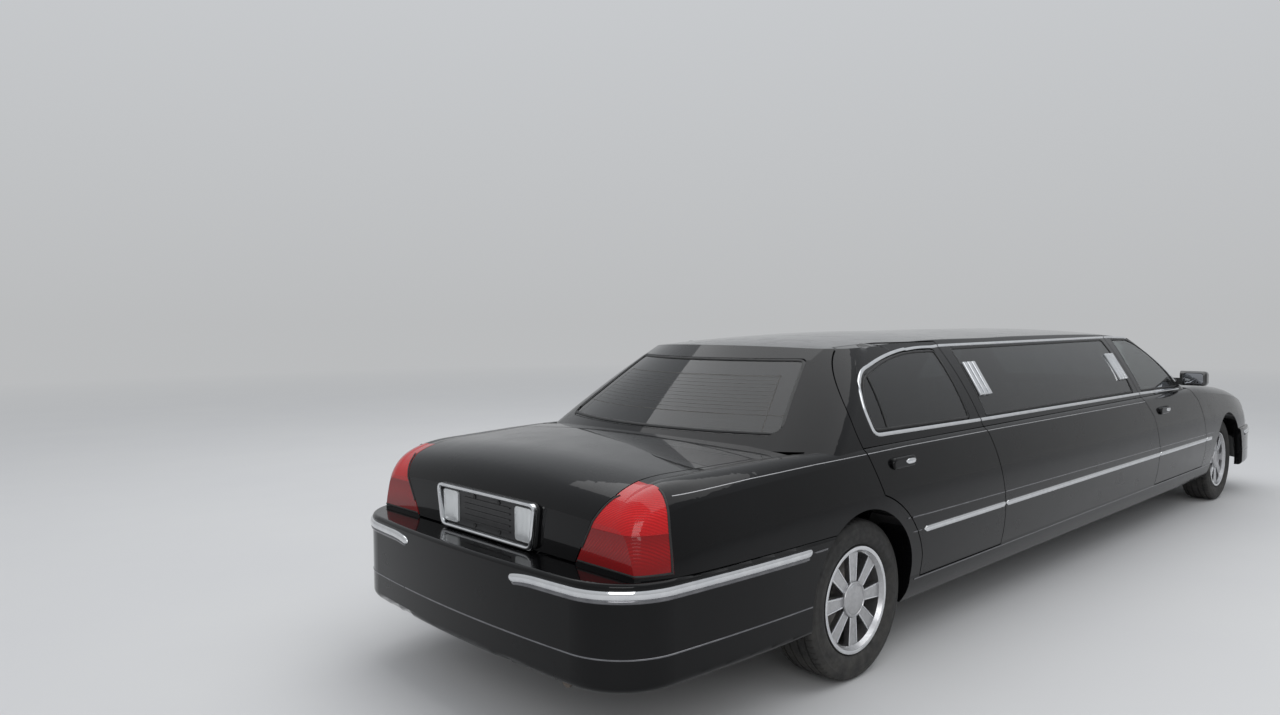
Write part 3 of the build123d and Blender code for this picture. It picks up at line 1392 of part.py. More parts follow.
# Seats: two in front and a bench across the rear, all standing on the floor
SEAT_Z = FLOOR_Z + FIT
FRONT_SEAT = [
    (fore(-1960), SEAT_Z), (fore(-1470), SEAT_Z), (fore(-1425), 470), (fore(-1890), 440), (fore(-2075), 1090),
    (fore(-2190), 1080), (fore(-2030), 400),
]
REAR_SEAT = [
    (aft(790), SEAT_Z), (aft(1120), SEAT_Z), (aft(1150), 470), (aft(690), 430), (aft(500), 1040), (aft(380), 1030),
    (aft(420), 640), (aft(540), 480),
]
front_seats = both_sides(cushion(FRONT_SEAT, -690, -170, 40))
save(front_seats, "front_seats")
shaft_room = whole_box(aft(540), aft(1200), 200, TUNNEL_TOP + FIT, -TUNNEL_HALF - FIT, TUNNEL_HALF + FIT)
rear_seat = cut_from(cushion(REAR_SEAT, -660, 660, 40), shaft_room)
save(rear_seat, "rear_seat")
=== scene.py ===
import json
import math

import bmesh
import bpy
import numpy as np
from mathutils import Matrix, Vector
from mathutils.bvhtree import BVHTree


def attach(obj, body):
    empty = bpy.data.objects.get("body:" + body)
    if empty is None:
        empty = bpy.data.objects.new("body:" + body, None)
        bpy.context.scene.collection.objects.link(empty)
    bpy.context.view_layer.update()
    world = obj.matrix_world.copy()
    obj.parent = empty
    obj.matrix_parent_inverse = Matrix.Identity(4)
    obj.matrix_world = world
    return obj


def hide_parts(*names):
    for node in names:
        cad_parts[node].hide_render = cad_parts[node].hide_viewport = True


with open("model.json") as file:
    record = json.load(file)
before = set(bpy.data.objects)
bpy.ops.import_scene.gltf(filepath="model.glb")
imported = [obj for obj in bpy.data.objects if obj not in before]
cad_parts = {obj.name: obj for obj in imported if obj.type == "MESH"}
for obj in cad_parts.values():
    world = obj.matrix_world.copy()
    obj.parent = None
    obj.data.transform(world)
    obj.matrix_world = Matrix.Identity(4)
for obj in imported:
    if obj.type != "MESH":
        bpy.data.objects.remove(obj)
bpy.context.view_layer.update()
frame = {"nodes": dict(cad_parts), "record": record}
NODES = frame["nodes"]
BODY_OF = {node: body for body, members in frame["record"]["behaviour"]["bodies"].items() for node in members}

# In metres: both axles' stations and half tracks, and the wheels' height
REAR_X = -2.5555
FRONT_X = 2.9745
WHEEL_Z = 0.351
HALF_TRACKS = {"rear": (REAR_X, 0.832), "front": (FRONT_X, 0.805)}
SIDES = {"right": -1, "left": 1}

# In mm: the front axle ahead of the rear one, and the height where a tail lamp's two parts meet
FRONT_AXLE = 5530
LAMP_DIVISION = 834


def station(x):
    """X in metres from mm ahead of the rear axle."""
    return REAR_X + x / 1000


# Materials
def blank(name, **sockets):
    """Tree of a new material with constants on its shader."""
    made = bpy.data.materials.new(name)
    made.use_nodes = True
    tree = Tree(made)
    for socket, value in sockets.items():
        tree.shader.inputs[socket.replace("_", " ")].default_value = value
    return tree


class Tree:
    """Short ways to add nodes to one material."""

    def __init__(self, material):
        self.material = material
        self.nodes = material.node_tree.nodes
        self.links = material.node_tree.links
        self.shader = self.nodes["Principled BSDF"]
        self.place = self.nodes.new("ShaderNodeTexCoord").outputs["Object"]
        split = self.nodes.new("ShaderNodeSeparateXYZ")
        self.links.new(self.place, split.inputs["Vector"])
        self.x, self.y, self.z = split.outputs

    def noise(self, scale, detail=3):
        node = self.nodes.new("ShaderNodeTexNoise")
        node.inputs["Scale"].default_value = scale
        node.inputs["Detail"].default_value = detail
        self.links.new(self.place, node.inputs["Vector"])
        return node.outputs["Fac"]

    def drift(self, scale, low=0.0, high=1.0):
        return self.ramp(self.noise(scale), 0.3, 0.7, low, high)

    def bands(self, direction, scale, distortion):
        node = self.nodes.new("ShaderNodeTexWave")
        node.wave_type = "BANDS"
        node.bands_direction = direction
        node.inputs["Scale"].default_value = scale
        node.inputs["Distortion"].default_value = distortion
        self.links.new(self.place, node.inputs["Vector"])
        return node.outputs["Fac"]

    def ramp(self, value, low, high, to_low=0.0, to_high=1.0):
        node = self.nodes.new("ShaderNodeMapRange")
        for socket, number in zip(("From Min", "From Max", "To Min", "To Max"), (low, high, to_low, to_high)):
            node.inputs[socket].default_value = number
        self.links.new(value, node.inputs["Value"])
        return node.outputs["Result"]

    def math(self, operation, first, second=None):
        node = self.nodes.new("ShaderNodeMath")
        node.operation = operation
        for socket, value in zip(node.inputs, (first, second)):
            if isinstance(value, (int, float)):
                socket.default_value = value
            elif value is not None:
                self.links.new(value, socket)
        return node.outputs["Value"]

    def mix(self, share, first, second):
        node = self.nodes.new("ShaderNodeMix")
        node.data_type = "RGBA"
        self.links.new(share, node.inputs[0])
        for socket, value in zip((node.inputs[6], node.inputs[7]), (first, second)):
            if isinstance(value, tuple):
                socket.default_value = (*value, 1)
            else:
                self.links.new(value, socket)
        return node.outputs[2]

    def bump(self, height, distance):
        node = self.nodes.new("ShaderNodeBump")
        node.inputs["Distance"].default_value = distance
        self.links.new(height, node.inputs["Height"])
        return node.outputs["Normal"]

    def dress(self, **values):
        """The material, with these values linked to its shader."""
        for socket, value in values.items():
            if value is not None:
                self.links.new(value, self.shader.inputs[socket.replace("_", " ")])
        return self.material


# Road dust: its colour, and the heights from which and to which it thickens
DUST = (0.16, 0.15, 0.13)
DUST_TOP, DUST_FOOT = 0.75, 0.1


def finish(name, base, other, rough, grain=30, bump=0, bump_grain=400, dust=0, **sockets):
    """Material whose colour and roughness drift between two values, with grain, and road dust low down."""
    tree = blank(name, **sockets)
    colour = tree.mix(tree.drift(grain), base, other)
    roughness = tree.drift(grain * 2.3, *rough)
    if dust:
        low = tree.ramp(tree.z, DUST_TOP, DUST_FOOT, 0, dust)
        specks = tree.math("MULTIPLY", low, tree.ramp(tree.noise(14, 8), 0.35, 0.75))
        colour = tree.mix(specks, colour, DUST)
        roughness = tree.math("ADD", roughness, tree.math("MULTIPLY", specks, 0.5))
    normal = tree.bump(tree.noise(bump_grain), bump) if bump else None
    return tree.dress(Base_Color=colour, Roughness=roughness, Normal=normal)


def lamp_red():
    """Red lens: brighter above its division, with reflector ribs in its bump and a painted glow near two
    heights, where light thrown back by the reflector bowls is painted into the colour.
    """
    tree = blank("lens_red", Coat_Weight=0.8, Coat_Roughness=0.02, Coat_IOR=1.4, Specular_IOR_Level=0.1)
    upper = tree.ramp(tree.z, (LAMP_DIVISION - 2) / 1000, (LAMP_DIVISION + 2) / 1000)
    # Painted glow: the red turns lighter near two heights, standing in for light off the reflector bowls
    painted_glow_spots = []
    for height, reach in ((0.90, 0.085), (0.775, 0.06)):
        away = tree.math("ABSOLUTE", tree.math("SUBTRACT", tree.z, height))
        painted_glow_spots.append(tree.ramp(away, reach, 0.0))
    glow = tree.math("MAXIMUM", *painted_glow_spots)
    # The ribs are a bump and also the mask that paints the glow into the colour
    ribs = tree.math("MULTIPLY", tree.bands("DIAGONAL", 40, 0.4), glow)
    dark = tree.mix(upper, (0.20, 0.001, 0.002), (0.40, 0.002, 0.004))
    # Lighter red of the painted glow
    painted_glow_red = tree.mix(upper, (0.30, 0.002, 0.003), (0.62, 0.008, 0.010))
    return tree.dress(
        Base_Color=tree.mix(ribs, dark, painted_glow_red), Roughness=tree.drift(60, 0.10, 0.20),
        Normal=tree.bump(ribs, 0.0006),
    )


def lamp_clear():
    """Clear fluted lens over a bright reflector, with painted highlight stripes along its flutes."""
    tree = blank("lens_clear", Coat_Weight=1.0, Coat_Roughness=0.02, Metallic=0.35)
    # The flutes are a bump, and they also paint lighter and darker stripes into the colour as painted
    # highlights
    flutes_and_painted_highlights = tree.bands("Y", 38, 0.6)
    return tree.dress(
        Base_Color=tree.mix(flutes_and_painted_highlights, (0.55, 0.57, 0.58), (0.85, 0.87, 0.88)),
        Roughness=tree.drift(50, 0.05, 0.14), Normal=tree.bump(flutes_and_painted_highlights, 0.0008),
    )


def glass(name, tint, other):
    """Tinted glass with faint smears."""
    tree = blank(name, Transmission_Weight=1.0, IOR=1.5)
    smears = tree.ramp(tree.noise(9, 6), 0.35, 0.75, 0.0, 0.035)
    return tree.dress(Base_Color=tree.mix(tree.drift(5), tint, other), Roughness=smears)


FINISHES = {
    "paint_black": finish(
        "paint", (0.0018, 0.0018, 0.0021), (0.0028, 0.0028, 0.0032), (0.2, 0.28), grain=3, bump=0.00002,
        bump_grain=160, Coat_Weight=0.75, Coat_IOR=1.34, Coat_Roughness=0.012, Specular_IOR_Level=0.03,
    ),
    "roof_black": finish(
        "roof", (0.003, 0.003, 0.0034), (0.0045, 0.0045, 0.005), (0.2, 0.3), grain=4, bump=0.00003,
        bump_grain=160, Coat_Weight=0.9, Coat_IOR=1.38, Coat_Roughness=0.03, Specular_IOR_Level=0.05,
    ),
    "underbody_black": finish(
        "underbody", (0.012,) * 3, (0.024, 0.023, 0.022), (0.6, 0.85), grain=25, bump=0.0006,
        bump_grain=220, dust=0.6,
    ),
    "glass_dark": glass("glass_dark", (0.045, 0.05, 0.052), (0.06, 0.065, 0.068)),
    "glass_light": glass("glass_light", (0.34, 0.38, 0.37), (0.38, 0.42, 0.41)),
    "chrome": finish("chrome", (0.78, 0.79, 0.80), (0.68, 0.69, 0.71), (0.04, 0.12), grain=20, Metallic=1.0),
    "lamp_red": lamp_red(),
    "lamp_clear": lamp_clear(),
    "alloy": finish(
        "alloy", (0.56, 0.56, 0.57), (0.46, 0.46, 0.47), (0.26, 0.38), grain=60, bump=0.00003,
        bump_grain=900, dust=0.12, Metallic=1.0,
    ),
    "tyre_black": finish(
        "rubber", (0.012,) * 3, (0.022, 0.021, 0.020), (0.62, 0.85), grain=18, bump=0.0002,
        bump_grain=700, dust=0.22,
    ),
    "cast_grey": finish(
        "castings", (0.05, 0.048, 0.045), (0.10, 0.075, 0.055), (0.55, 0.8), grain=22, bump=0.0006,
        bump_grain=300, Metallic=0.6,
    ),
    "pipe_steel": finish(
        "pipe", (0.22, 0.20, 0.18), (0.13, 0.10, 0.08), (0.4, 0.65), grain=12, bump=0.0003,
        bump_grain=250, Metallic=1.0,
    ),
    "trim_black": finish(
        "trim", (0.014,) * 3, (0.021,) * 3, (0.45, 0.62), grain=40, bump=0.00025,
        bump_grain=1400,
    ),
    "leather_dark": finish(
        "leather", (0.018, 0.017, 0.016), (0.034, 0.031, 0.029), (0.38, 0.55), grain=12, bump=0.0006,
        bump_grain=420,
    ),
    "mirror_black": finish(
        "mirror_shell", (0.005,) * 3, (0.009,) * 3, (0.12, 0.2), grain=8,
        Coat_Weight=1.0, Coat_Roughness=0.02,
    ),
}
# Looks of small pieces: a material and its slot, if it has one
RUBBER = finish(
    "gasket", (0.006,) * 3, (0.011,) * 3, (0.45, 0.6), bump=0.0001, bump_grain=900,
), "trim_black"
DARK_CHROME = finish(
    "dark_chrome", (0.22, 0.22, 0.23), (0.16, 0.16, 0.17), (0.1, 0.2), grain=20, Metallic=1.0,
), "chrome"
BRIGHT_ALLOY = FINISHES["chrome"], "alloy"
STRIPE = finish(
    "pinstripe", (0.42, 0.42, 0.43), (0.36, 0.36, 0.37), (0.3, 0.4), grain=20, Metallic=0.4,
), None
HEATER = finish("heater_lines", (0.03, 0.027, 0.022), (0.022, 0.02, 0.017), (0.5, 0.6), grain=20), None
MIRROR = finish(
    "mirror_glass", (0.3, 0.31, 0.33), (0.27, 0.28, 0.3), (0.01, 0.04), grain=6, Metallic=1.0,
), None
DISC = finish(
    "brake_disc", (0.3, 0.29, 0.28), (0.2, 0.18, 0.16), (0.3, 0.45), grain=30, Metallic=1.0,
), None


def zoned(name, mask, inner, outer, rough_inner, rough_outer, metal=False, **sockets):
    """Material of two finishes, told apart by a mask over the object's coordinates."""
    tree = blank(name, **sockets)
    share = mask(tree)
    drift = tree.drift(20)
    first = tree.mix(drift, inner, tuple(0.8 * c for c in inner))
    second = tree.mix(drift, outer, tuple(0.9 * c for c in outer))
    colour = tree.mix(share, first, second)
    grain = tree.drift(45, -0.03, 0.03)
    roughness = tree.math("ADD", tree.ramp(share, 0, 1, rough_inner, rough_outer), grain)
    return tree.dress(Base_Color=colour, Roughness=roughness, Metallic=share if metal else None)


OWN_LOOKS = {
    # The sills outside the floor are painted, the rest of it is coated
    "floor_pan": zoned(
        "sills", lambda tree: tree.ramp(tree.math("ABSOLUTE", tree.y), 0.888, 0.892),
        (0.016,) * 3, (0.003, 0.003, 0.0034), 0.75, 0.14, Specular_IOR_Level=0.3,
    ),
    # A bright ring round a dark panel
    "plate_surround": zoned(
        "plate_surround", lambda tree: tree.ramp(tree.x, -3.8436, -3.8444),
        (0.022, 0.022, 0.023), (0.78, 0.79, 0.80), 0.42, 0.06, metal=True,
    ),
}
for row in frame["record"]["subparts"]:
    for place in NODES[row["node"]].material_slots:
        place.material = OWN_LOOKS.get(row["node"], FINISHES[row["material_slot"]])

# Meshes, in metres: spacing of a strip's rays, how far out they start and how far they go, the widest gap in
# a strip and its fewest hits, and how deep the panes are set in
STEP = 0.006
SIDE_START, SIDE_REACH = 1.4, 1.2
END_START, END_REACH = 5.0, 4.0
CORNER_ROOM = 0.12
JUMP = 2.2 * STEP
FEWEST_HITS = 5
GLASS_SET_IN = 0.006
# In mm ahead of the rear axle: where a bumper's level rays point to, behind and ahead of midships
REAR_CORE, MIDSHIPS, FRONT_CORE = 1000, 2500, 4000
# How far a ray moves up or down, in mm, where it slips through a shut line
SHUT_LINE_SHIFTS = (0, -2, 2, -5, 5, -9, 9, -14, 14, -20, 20)


def placed(name, data):
    """New object in the scene."""
    made = bpy.data.objects.new(name, data)
    bpy.context.scene.collection.objects.link(made)
    return made


def piece_of(mesh, name, look, body, crease=32):
    """Object from a bmesh, smooth but for its sharper edges, riding on a body. Its look is a slot's name, or
    a material and its slot."""
    material, slot = (FINISHES[look], look) if isinstance(look, str) else look
    bmesh.ops.recalc_face_normals(mesh, faces=mesh.faces)
    for face in mesh.faces:
        face.smooth = True
    for edge in mesh.edges:
        if len(edge.link_faces) == 2 and edge.calc_face_angle(0) > math.radians(crease):
            edge.smooth = False
    data = bpy.data.meshes.new(name)
    mesh.to_mesh(data)
    mesh.free()
    data.materials.append(material)
    made = placed(name, data)
    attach(made, body)
    return made


class Skin:
    """Outer surface of some CAD nodes. A sunk pane counts as the panel round it, at that panel's level."""

    def __init__(self, *names, sunk=None):
        points, faces, self.owner = [], [], []
        self.sunk = sunk or {}
        for name in names:
            mesh = NODES[name].data
            base = len(points)
            points += [v.co.copy() for v in mesh.vertices]
            faces += [[base + i for i in face.vertices] for face in mesh.polygons]
            self.owner += [name] * len(mesh.polygons)
        self.tree = BVHTree.FromPolygons(points, faces)

    def hit(self, origin, direction):
        """Place, outward normal and node where a ray first meets the surface."""
        reach = SIDE_REACH if direction.x == 0 else END_REACH
        place, normal, index, _ = self.tree.ray_cast(origin, direction, reach)
        if place is None:
            return None
        normal = -normal if normal.dot(direction) > 0 else normal
        owner = self.owner[index]
        if owner in self.sunk:
            return place + normal * GLASS_SET_IN, normal, self.sunk[owner]
        return place, normal, owner


def along(points, step=STEP * 1000, soften=0, closed=False):
    """Evenly spaced points along a polyline in mm, softened over a length at its corners."""
    points = [np.array(p, float) for p in points]
    if closed:
        points.append(points[0])
    lengths = [np.linalg.norm(b - a) for a, b in zip(points, points[1:])]
    total = sum(lengths)
    marks = np.linspace(0, total, max(2, int(round(total / step))) + 1)
    ends = np.concatenate([[0], np.cumsum(lengths)])
    rows = np.array(points)
    even = np.stack([np.interp(marks, ends, rows[:, k]) for k in range(rows.shape[1])], axis=1)
    if closed:
        even = even[:-1]
    window = int(soften / step)
    for _ in range(2 if window else 0):
        if closed:
            even = sum(np.roll(even, k, axis=0) for k in range(-window, window + 1)) / (2 * window + 1)
        else:
            padded = np.concatenate([
                2 * even[0] - even[1:window + 1][::-1], even, 2 * even[-1] - even[-window - 1:-1][::-1],
            ])
            even = sum(padded[k:k + len(even)] for k in range(2 * window + 1)) / (2 * window + 1)
    return even


def arc(start, middle, end, count=24):
    """Points of the circle through three points, from start to end."""
    (ax, ay), (bx, by), (cx, cy) = start, middle, end
    d = 2 * (ax * (by - cy) + bx * (cy - ay) + cx * (ay - by))
    a2, b2, c2 = (x**2 + y**2 for x, y in (start, middle, end))
    ux = (a2 * (by - cy) + b2 * (cy - ay) + c2 * (ay - by)) / d
    uy = (a2 * (cx - bx) + b2 * (ax - cx) + c2 * (bx - ax)) / d
    radius = math.hypot(ax - ux, ay - uy)
    first, mid, last = (math.atan2(y - uy, x - ux) for x, y in (start, middle, end))
    turn = (last - first) % math.tau
    if (mid - first) % math.tau > turn:
        turn -= math.tau
    return [
        (ux + radius * math.cos(first + turn * k / count), uy + radius * math.sin(first + turn * k / count))
        for k in range(count + 1)
    ]


def grown(points, distance):
    """Closed outline moved out by a distance, or in by a negative one."""
    points = np.array(points, float)
    ahead, behind = np.roll(points, -1, axis=0), np.roll(points, 1, axis=0)
    run = ahead - behind
    run /= np.maximum(np.linalg.norm(run, axis=1, keepdims=True), 1e-9)
    area = np.sum(points[:, 0] * ahead[:, 1] - ahead[:, 0] * points[:, 1])
    out = np.stack([run[:, 1], -run[:, 0]], axis=1) * (1 if area > 0 else -1)
    return points + out * distance


def side_rays(path, sign):
    """Rays square to one side of the car through a path of stations and heights in mm."""
    return [(Vector((station(x), sign * SIDE_START, z / 1000)), Vector((0, -sign, 0))) for x, z in path]


def end_rays(path, direction):
    """Rays along the car through a path of half-widths and heights in mm."""
    start = -direction * END_START
    return [(Vector((start, y / 1000, z / 1000)), Vector((direction, 0, 0))) for y, z in path]


def plan_rays(path, height):
    """Level rays inward from a plan path of stations and half-widths in mm, at a height in mm."""
    rays = []
    for k, (x, y) in enumerate(path):
        before, after = path[max(k - 1, 0)], path[min(k + 1, len(path) - 1)]
        run = np.array(after) - np.array(before)
        inward = Vector((-run[1], run[0], 0)).normalized()
        core = Vector((REAR_CORE if x < MIDSHIPS else FRONT_CORE, 0, 0))
        if inward.dot(core - Vector((x, y, 0))) < 0:
            inward = -inward
        z = height(k * STEP) if callable(height) else height
        rays.append((Vector((station(x), y / 1000, z / 1000)) - inward * CORNER_ROOM, inward))
    return rays


def runs(skin, rays, jump):
    """Hits of the rays, in runs that end where the surface steps or another node begins."""
    found, current, missed = [], [], 0
    for origin, direction in rays:
        hit = skin.hit(origin, direction)
        if hit is None:
            missed += 1
            continue
        reach = jump * (min(missed, 2) + 1)
        if current and (hit[2] != current[-1][2] or (hit[0] - current[-1][0]).length > reach):
            found.append(current)
            current = []
        current.append(hit)
        missed = 0
    return [run for run in [*found, current] if len(run) >= FEWEST_HITS]


def dome(width, height, sunk=1, steps=6):
    """Section of a crowned strip in mm: across and out."""
    half = width / 2
    turns = [math.pi * (1 - k / steps) for k in range(1, steps)]
    crown = [(half * math.cos(turn), height * math.sin(turn) ** 0.7) for turn in turns]
    return [(-half, -sunk), (-half, 0), *crown, (half, 0), (half, -sunk)]


def flat(width, height, sunk=1):
    """Section of a flat strip with eased edges, in mm."""
    half, ease = width / 2, min(height * 0.6, width * 0.15)
    side = [(half - ease, height), (half, height - ease), (half, -sunk)]
    return [(-across, out) for across, out in reversed(side)] + side


def smoothed(vectors, reach=3, closed=False):
    """Each vector averaged with its neighbours."""
    count = len(vectors)
    out = []
    for k in range(count):
        near = [vectors[j % count] for j in range(k - reach, k + reach + 1) if closed or 0 <= j < count]
        out.append(sum(near, Vector()).normalized())
    return out


def bridge(mesh, first, second):
    """Faces between two closed rings of as many points."""
    for k in range(len(first)):
        j = (k + 1) % len(first)
        mesh.faces.new((first[k], first[j], second[j], second[k]))


def loft(mesh, rings, closed=False):
    """Faces from ring to ring, with both ends filled unless the last joins the first."""
    for first, second in zip(rings, rings[1:] + (rings[:1] if closed else [])):
        bridge(mesh, first, second)
    if not closed:
        mesh.faces.new(rings[0])
        mesh.faces.new(list(reversed(rings[-1])))


def sweep(name, points, normals, section, look, body, closed=False, taper=0.0):
    """Section swept along points that lie on a surface, with rounded ends if tapered."""
    mesh = bmesh.new()
    rings = []
    count = len(points)
    section = [(a / 1000, o / 1000) for a, o in section]
    lengths = [0.0]
    for a, b in zip(points, points[1:]):
        lengths.append(lengths[-1] + (b - a).length)
    for k, (point, normal) in enumerate(zip(points, normals)):
        before = points[k - 1] if k or closed else point
        after = points[(k + 1) % count] if k < count - 1 or closed else point
        ahead = (after - before).normalized()
        out = (normal - normal.dot(ahead) * ahead).normalized()
        across = out.cross(ahead)
        size = 1.0
        if taper:
            left = min(lengths[k], lengths[-1] - lengths[k], taper) / taper
            size = max(0.15, math.sqrt(max(0.0, 1 - (1 - left) ** 2)))
        rings.append([
            mesh.verts.new(point + across * a * size + out * (o * size if o > 0 else o)) for a, o in section
        ])
    loft(mesh, rings, closed)
    piece_of(mesh, name, look, body)


def strip(name, skin, rays, section, look, keep=3, taper=0.0, closed=False, jump=JUMP):
    """Strips that lie on the skin along the rays, one for each panel that they cross."""
    found = runs(skin, rays, jump)
    whole = closed and len(found) == 1
    for k, run in enumerate(found):
        normals = smoothed([hit[1] for hit in run], closed=whole)
        chosen = list(range(0, len(run), keep))
        if not whole and chosen[-1] != len(run) - 1:
            chosen.append(len(run) - 1)
        sweep(
            name if len(found) == 1 else f"{name}_{k}", [run[j][0] for j in chosen],
            [normals[j] for j in chosen], section, look, BODY_OF[run[0][2]], whole, taper,
        )


def slab(name, points, origin, right, up, depth, look, body, ease=0.0, dish=0.0):
    """Plate from a flat outline, standing out along right x up, with an eased and crowned face."""
    origin, right, up = Vector(origin), Vector(right).normalized(), Vector(up).normalized()
    out = right.cross(up)
    mesh = bmesh.new()
    points = np.array(points, float)
    levels = [(0.0, 0.0), (max(depth - ease, depth * 0.2), 0.0)]
    if ease:
        levels += [(depth - ease * 0.3, ease * 0.3), (depth, ease)]
    rings = []
    for level, inset in levels:
        row = grown(points, -inset) if inset else points
        rings.append([mesh.verts.new(origin + right * a + up * b + out * level) for a, b in row])
    for first, second in zip(rings, rings[1:]):
        bridge(mesh, first, second)
    top = rings[-1]
    if dish:
        middle = points.mean(axis=0)
        centre = origin + right * middle[0] + up * middle[1]
        row = [mesh.verts.new(v.co.lerp(centre + out * depth, 0.45) + out * dish * 0.75) for v in top]
        bridge(mesh, top, row)
        tip = mesh.verts.new(centre + out * (depth + dish))
        for k in range(len(row)):
            mesh.faces.new((row[k], row[(k + 1) % len(row)], tip))
    else:
        mesh.faces.new(top)
    mesh.faces.new(list(reversed(rings[0])))
    piece_of(mesh, name, look, body)


def nearest_hit(skin, origin, direction):
    """Hit of a ray, or of one a little lower or higher where this one slips through a shut line."""
    for shift in SHUT_LINE_SHIFTS:
        hit = skin.hit(origin + Vector((0, 0, shift / 1000)), direction)
        if hit:
            return hit[0] - Vector((0, 0, shift / 1000)), hit[1]
    raise ValueError("no surface near this ray")


def corner_panel(name, skin, edges, sign, body, columns=60, rows=5, lift=0.0006, depth=0.004):
    """Thin painted sheet between two lines of stations and heights on one side, level with the skin."""
    low, high = (
        np.array([line[round(k * (len(line) - 1) / columns)] for k in range(columns + 1)]) for line in edges
    )
    mesh = bmesh.new()
    grids = []
    for level in (lift, lift - depth):
        grid = []
        for k in range(rows + 1):
            hits = [nearest_hit(skin, *ray) for ray in side_rays(low + (high - low) * k / rows, sign)]
            grid.append([mesh.verts.new(place + normal * level) for place, normal in hits])
        grids.append(grid)
    for grid in grids:
        for first, second in zip(grid, grid[1:]):
            for j in range(columns):
                mesh.faces.new((first[j], first[j + 1], second[j + 1], second[j]))
    bridge(mesh, *(
        grid[0] + [row[-1] for row in grid[1:-1]] + grid[-1][::-1] + [row[0] for row in grid[-2:0:-1]]
        for grid in grids
    ))
    piece_of(mesh, name, "paint_black", body)


def rounded_box(width, height, radius, count=6):
    """Outline of a rectangle with round corners about the origin."""
    points = []
    for cx, cy, start in ((1, 1, 0), (-1, 1, 90), (-1, -1, 180), (1, -1, 270)):
        for k in range(count + 1):
            angle = math.radians(start + 90 * k / count)
            points.append((
                cx * (width / 2 - radius) + radius * math.cos(angle),
                cy * (height / 2 - radius) + radius * math.sin(angle),
            ))
    return points


# Window outlines in mm ahead of the rear axle and above the ground
REAR_DOOR_OPENING_TOP = arc((700, 1412), (300, 1330), (205, 1150))
REAR_DOOR_TOP = arc((1128, 1419), (720, 1400), (404, 1341))
REAR_DOOR_CORNER = arc((404, 1341), (262, 1276), (190, 1150))
REAR_DOOR_WINDOW = [
    (205, 1062), (1095, 1052), (1128, 1405), *arc((900, 1405), (700, 1388), (410, 1328)),
    *arc((400, 1324), (275, 1262), (205, 1150)),
]
FRONT_DOOR_WINDOW = [
    (3615, 1042), (4420, 1032), *arc((4340, 1152), (4200, 1300), (3985, 1404)), (3692, 1412), (3625, 1250),
]
STRETCH_WINDOW = [(1262, 1050), (3470, 1042), (3520, 1412), (1300, 1412)]
WINDOW_CHROME = [
    (4400, 1021), (3615, 1030), (1196, 1040), (215, 1049), (194, 1054), (189, 1076),
    *reversed(REAR_DOOR_CORNER), *reversed(REAR_DOOR_TOP[:-1]), (1200, 1424), (3692, 1424),
    *reversed(arc((4352, 1160), (4210, 1311), (3990, 1416))), (4412, 1075),
]
REAR_GLASS_BAR = along([(366, 1312), (350, 1222), (320, 1066)])
# The painted panel in the rear door's upper corner: its edge along the chrome, and its edge at the opening
CORNER_EDGES = [
    along([*reversed(REAR_DOOR_CORNER[:-9]), *reversed(REAR_DOOR_TOP[12:-1])], step=12),
    along([(x, z + 4) for x, z in reversed(REAR_DOOR_OPENING_TOP[:-5])], step=4),
]

# Strips along both sides: name, path of stations and heights, section, look, length of rounded ends
SIDE_STRIPS = [
    ("window_chrome", along(WINDOW_CHROME, soften=20), dome(19, 5), "chrome", 0),
    ("moulding", along([(470, 594), (2500, 592), (5025, 587)]), dome(30, 8), "chrome", 0.02),
    ("moulding_lead", along([(368, 597), (450, 596)]), dome(8, 3), DARK_CHROME, 0.006),
    ("upper_line", along([(320, 668), (520, 664), (1300, 657), (3700, 640), (5056, 629)]), dome(7, 3),
     DARK_CHROME, 0),
    ("pinstripe", along([(-1085, 952), (-700, 968), (-300, 978), (400, 985), (1200, 984), (3616, 974)]),
     flat(3.2, 0.3, 0.6), STRIPE, 0),
    ("rocker_line", along([(440, 357), (5090, 357)]), dome(7, 2), DARK_CHROME, 0),
    ("quarter_strip_end", along([(-392, 640), (-296, 641)]), dome(9, 4), DARK_CHROME, 0.006),
]
SIDE_PANELS = ["rear_quarters", "stretch_sides", "front_fenders", "rear_bumper", "front_bumper", "floor_pan"]
# Three chrome slats on each pillar, in mm: their middle, and how far they lean over half their height
SLATS = {"rear": (1369, 1240, 8.5), "front": (3406, 1222, 6.0)}
SLAT_HALF_WIDTH, SLAT_HALF_HEIGHT, SLAT_PITCH = 19, 104, 50
SLAT_DEPTH, SLAT_SUNK = 0.017, 0.006
# Rear lower corner of each door's handle
HANDLES = {"front": (3905, 893), "rear": (330, 921)}
CORNERS = ((-1, -1), (1, -1), (1, 1), (-1, 1))

